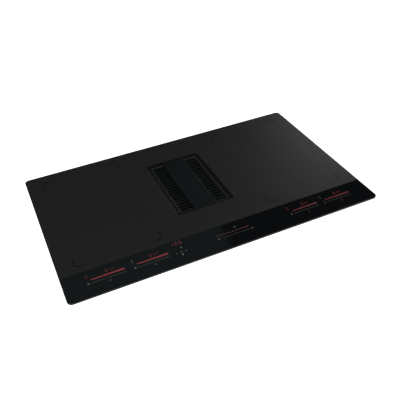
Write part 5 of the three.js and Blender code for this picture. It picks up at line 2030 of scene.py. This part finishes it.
@dataclass
class Studio:
    """Floor, worktop edge, dark tent, card, lamps, world and camera; all but the worktop in metres.

    The lamps are a soft key from the front left, a fill from the front right and a sheen behind on the
    right.
    """

    camera_at: tuple[float, float, float] = (-0.44783, -1.13159, 1.12235)
    heading: float = 23.26
    pitch: float = 38.01
    roll: float = 2.81
    lens: float = 49.909
    sensor: float = 36.0
    shift: float = -0.02
    world_light: float = 0.5
    floor: float = 24.0
    ledge: Outline = Outline(828, 51.8, 2, 0, -268.4)
    ledge_z: tuple[float, float] = (207.2, 208.0)
    tent_r: float = 7.0
    tent_low: float = 0.10
    tent_grid: tuple[int, int] = (12, 48)
    tent: Card = Card("tent_black", (0.004, 0.0045, 0.005))
    card: Card = Card("card_grey", (0.09, 0.115, 0.115))
    card_z: float = 3.0
    card_plan: Points = ((-1.3, 2.36), (1.288, 2.36), (1.352, 2.82), (-1.3, 2.82))
    lamps: tuple[Lamp, ...] = (
        Lamp("key", (-1.7, -1.5, 2.7), 2.0, 46.0),
        Lamp("fill", (2.2, -1.6, 2.2), 1.8, 16.0),
        Lamp("sheen", (5.5, 6.1, 2.8), 1.6, 38.0),
    )

    def build(self) -> None:
        """Sets the stage."""
        self.make_camera()
        self.make_world()
        self.make_floor()
        self.make_ledge()
        self.make_tent()
        self.make_card()
        for lamp in self.lamps:
            lamp.build()

    def make_camera(self) -> None:
        """The camera at the photograph's place: turned right, tipped down and rolled a little."""
        data = bpy.data.cameras.new("camera")
        data.sensor_width = self.sensor
        data.lens = self.lens
        data.shift_x = self.shift
        camera = bpy.data.objects.new("camera", data)
        turn = Matrix.Rotation(-math.radians(self.heading), 4, "Z")
        tip = Matrix.Rotation(math.radians(90 - self.pitch), 4, "X")
        roll = Matrix.Rotation(-math.radians(self.roll), 4, "Z")
        camera.matrix_world = Matrix.Translation(self.camera_at) @ turn @ tip @ roll
        bpy.context.scene.collection.objects.link(camera)
        bpy.context.scene.camera = camera

    def make_world(self) -> None:
        """White where it is seen or mirrored, and a plain grey light otherwise."""
        world = bpy.data.worlds.new("studio")
        bpy.context.scene.world = world
        world.use_nodes = True
        net = Net(world.node_tree)
        strength = net.seen() * (1 - self.world_light) + self.world_light
        light = net.add("ShaderNodeBackground", None, {"Color": WHITE, "Strength": strength})
        net.add("ShaderNodeOutputWorld", None, {"Surface": light})

    def make_floor(self) -> None:
        """A wide plain floor."""
        half = self.floor / MM / 2
        skin = Skin()
        skin.cap(np.array([[-half, -half, 0.0], [half, -half, 0.0], [half, half, 0.0], [-half, half, 0.0]]))
        skin.make("floor", White("floor_white"))

    def make_ledge(self) -> None:
        """A white strip of worktop under the glass's front edge."""
        skin = Skin()
        skin.wall(*(self.ledge.ring(z) for z in self.ledge_z))
        skin.make("worktop_edge", White("worktop_white"))

    def make_tent(self) -> None:
        """A black dome that only glossy rays see, so that the glass mirrors a dark room above."""
        rows, columns = self.tent_grid
        rise = np.linspace(self.tent_low, math.pi / 2, rows)
        angle = np.linspace(0, TURN, columns, endpoint=False)
        r, z = (self.tent_r / MM * wave(rise)[:, None] for wave in (np.cos, np.sin))
        dome = np.stack([r * np.cos(angle), r * np.sin(angle), np.repeat(z, columns, 1)], axis=-1)
        skin = Skin()
        skin.sheet(dome, around=True)
        self.mirror_only(skin.make("dark_tent", self.tent))

    def make_card(self) -> None:
        """A dim card whose slanted end shows as the sharp edge in the left part of the glossy band."""
        skin = Skin()
        skin.cap(np.array([(x, y, self.card_z) for x, y in self.card_plan]) / MM, up=False)
        self.mirror_only(skin.make("band_card", self.card))

    @staticmethod
    def mirror_only(piece: bpy.types.Object) -> None:
        """Marks a stage piece that only glossy rays meet.

        Args:
            piece: the stage piece.
        """
        for ray in ("camera", "diffuse", "transmission", "shadow"):
            setattr(piece, f"visible_{ray}", False)


def main() -> None:
    """Builds the studio and every piece in order."""
    logging.basicConfig(level=logging.INFO, format="%(message)s")
    bpy.context.scene.view_settings.view_transform = "Standard"
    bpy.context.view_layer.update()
    for part in (Studio, GlassTop, Intake, Display, Tray, Plenum, Blower, Duct, Filter, Coils, BoardParts):
        part().build()
    dress_nodes()


if __name__ == "__main__":
    main()
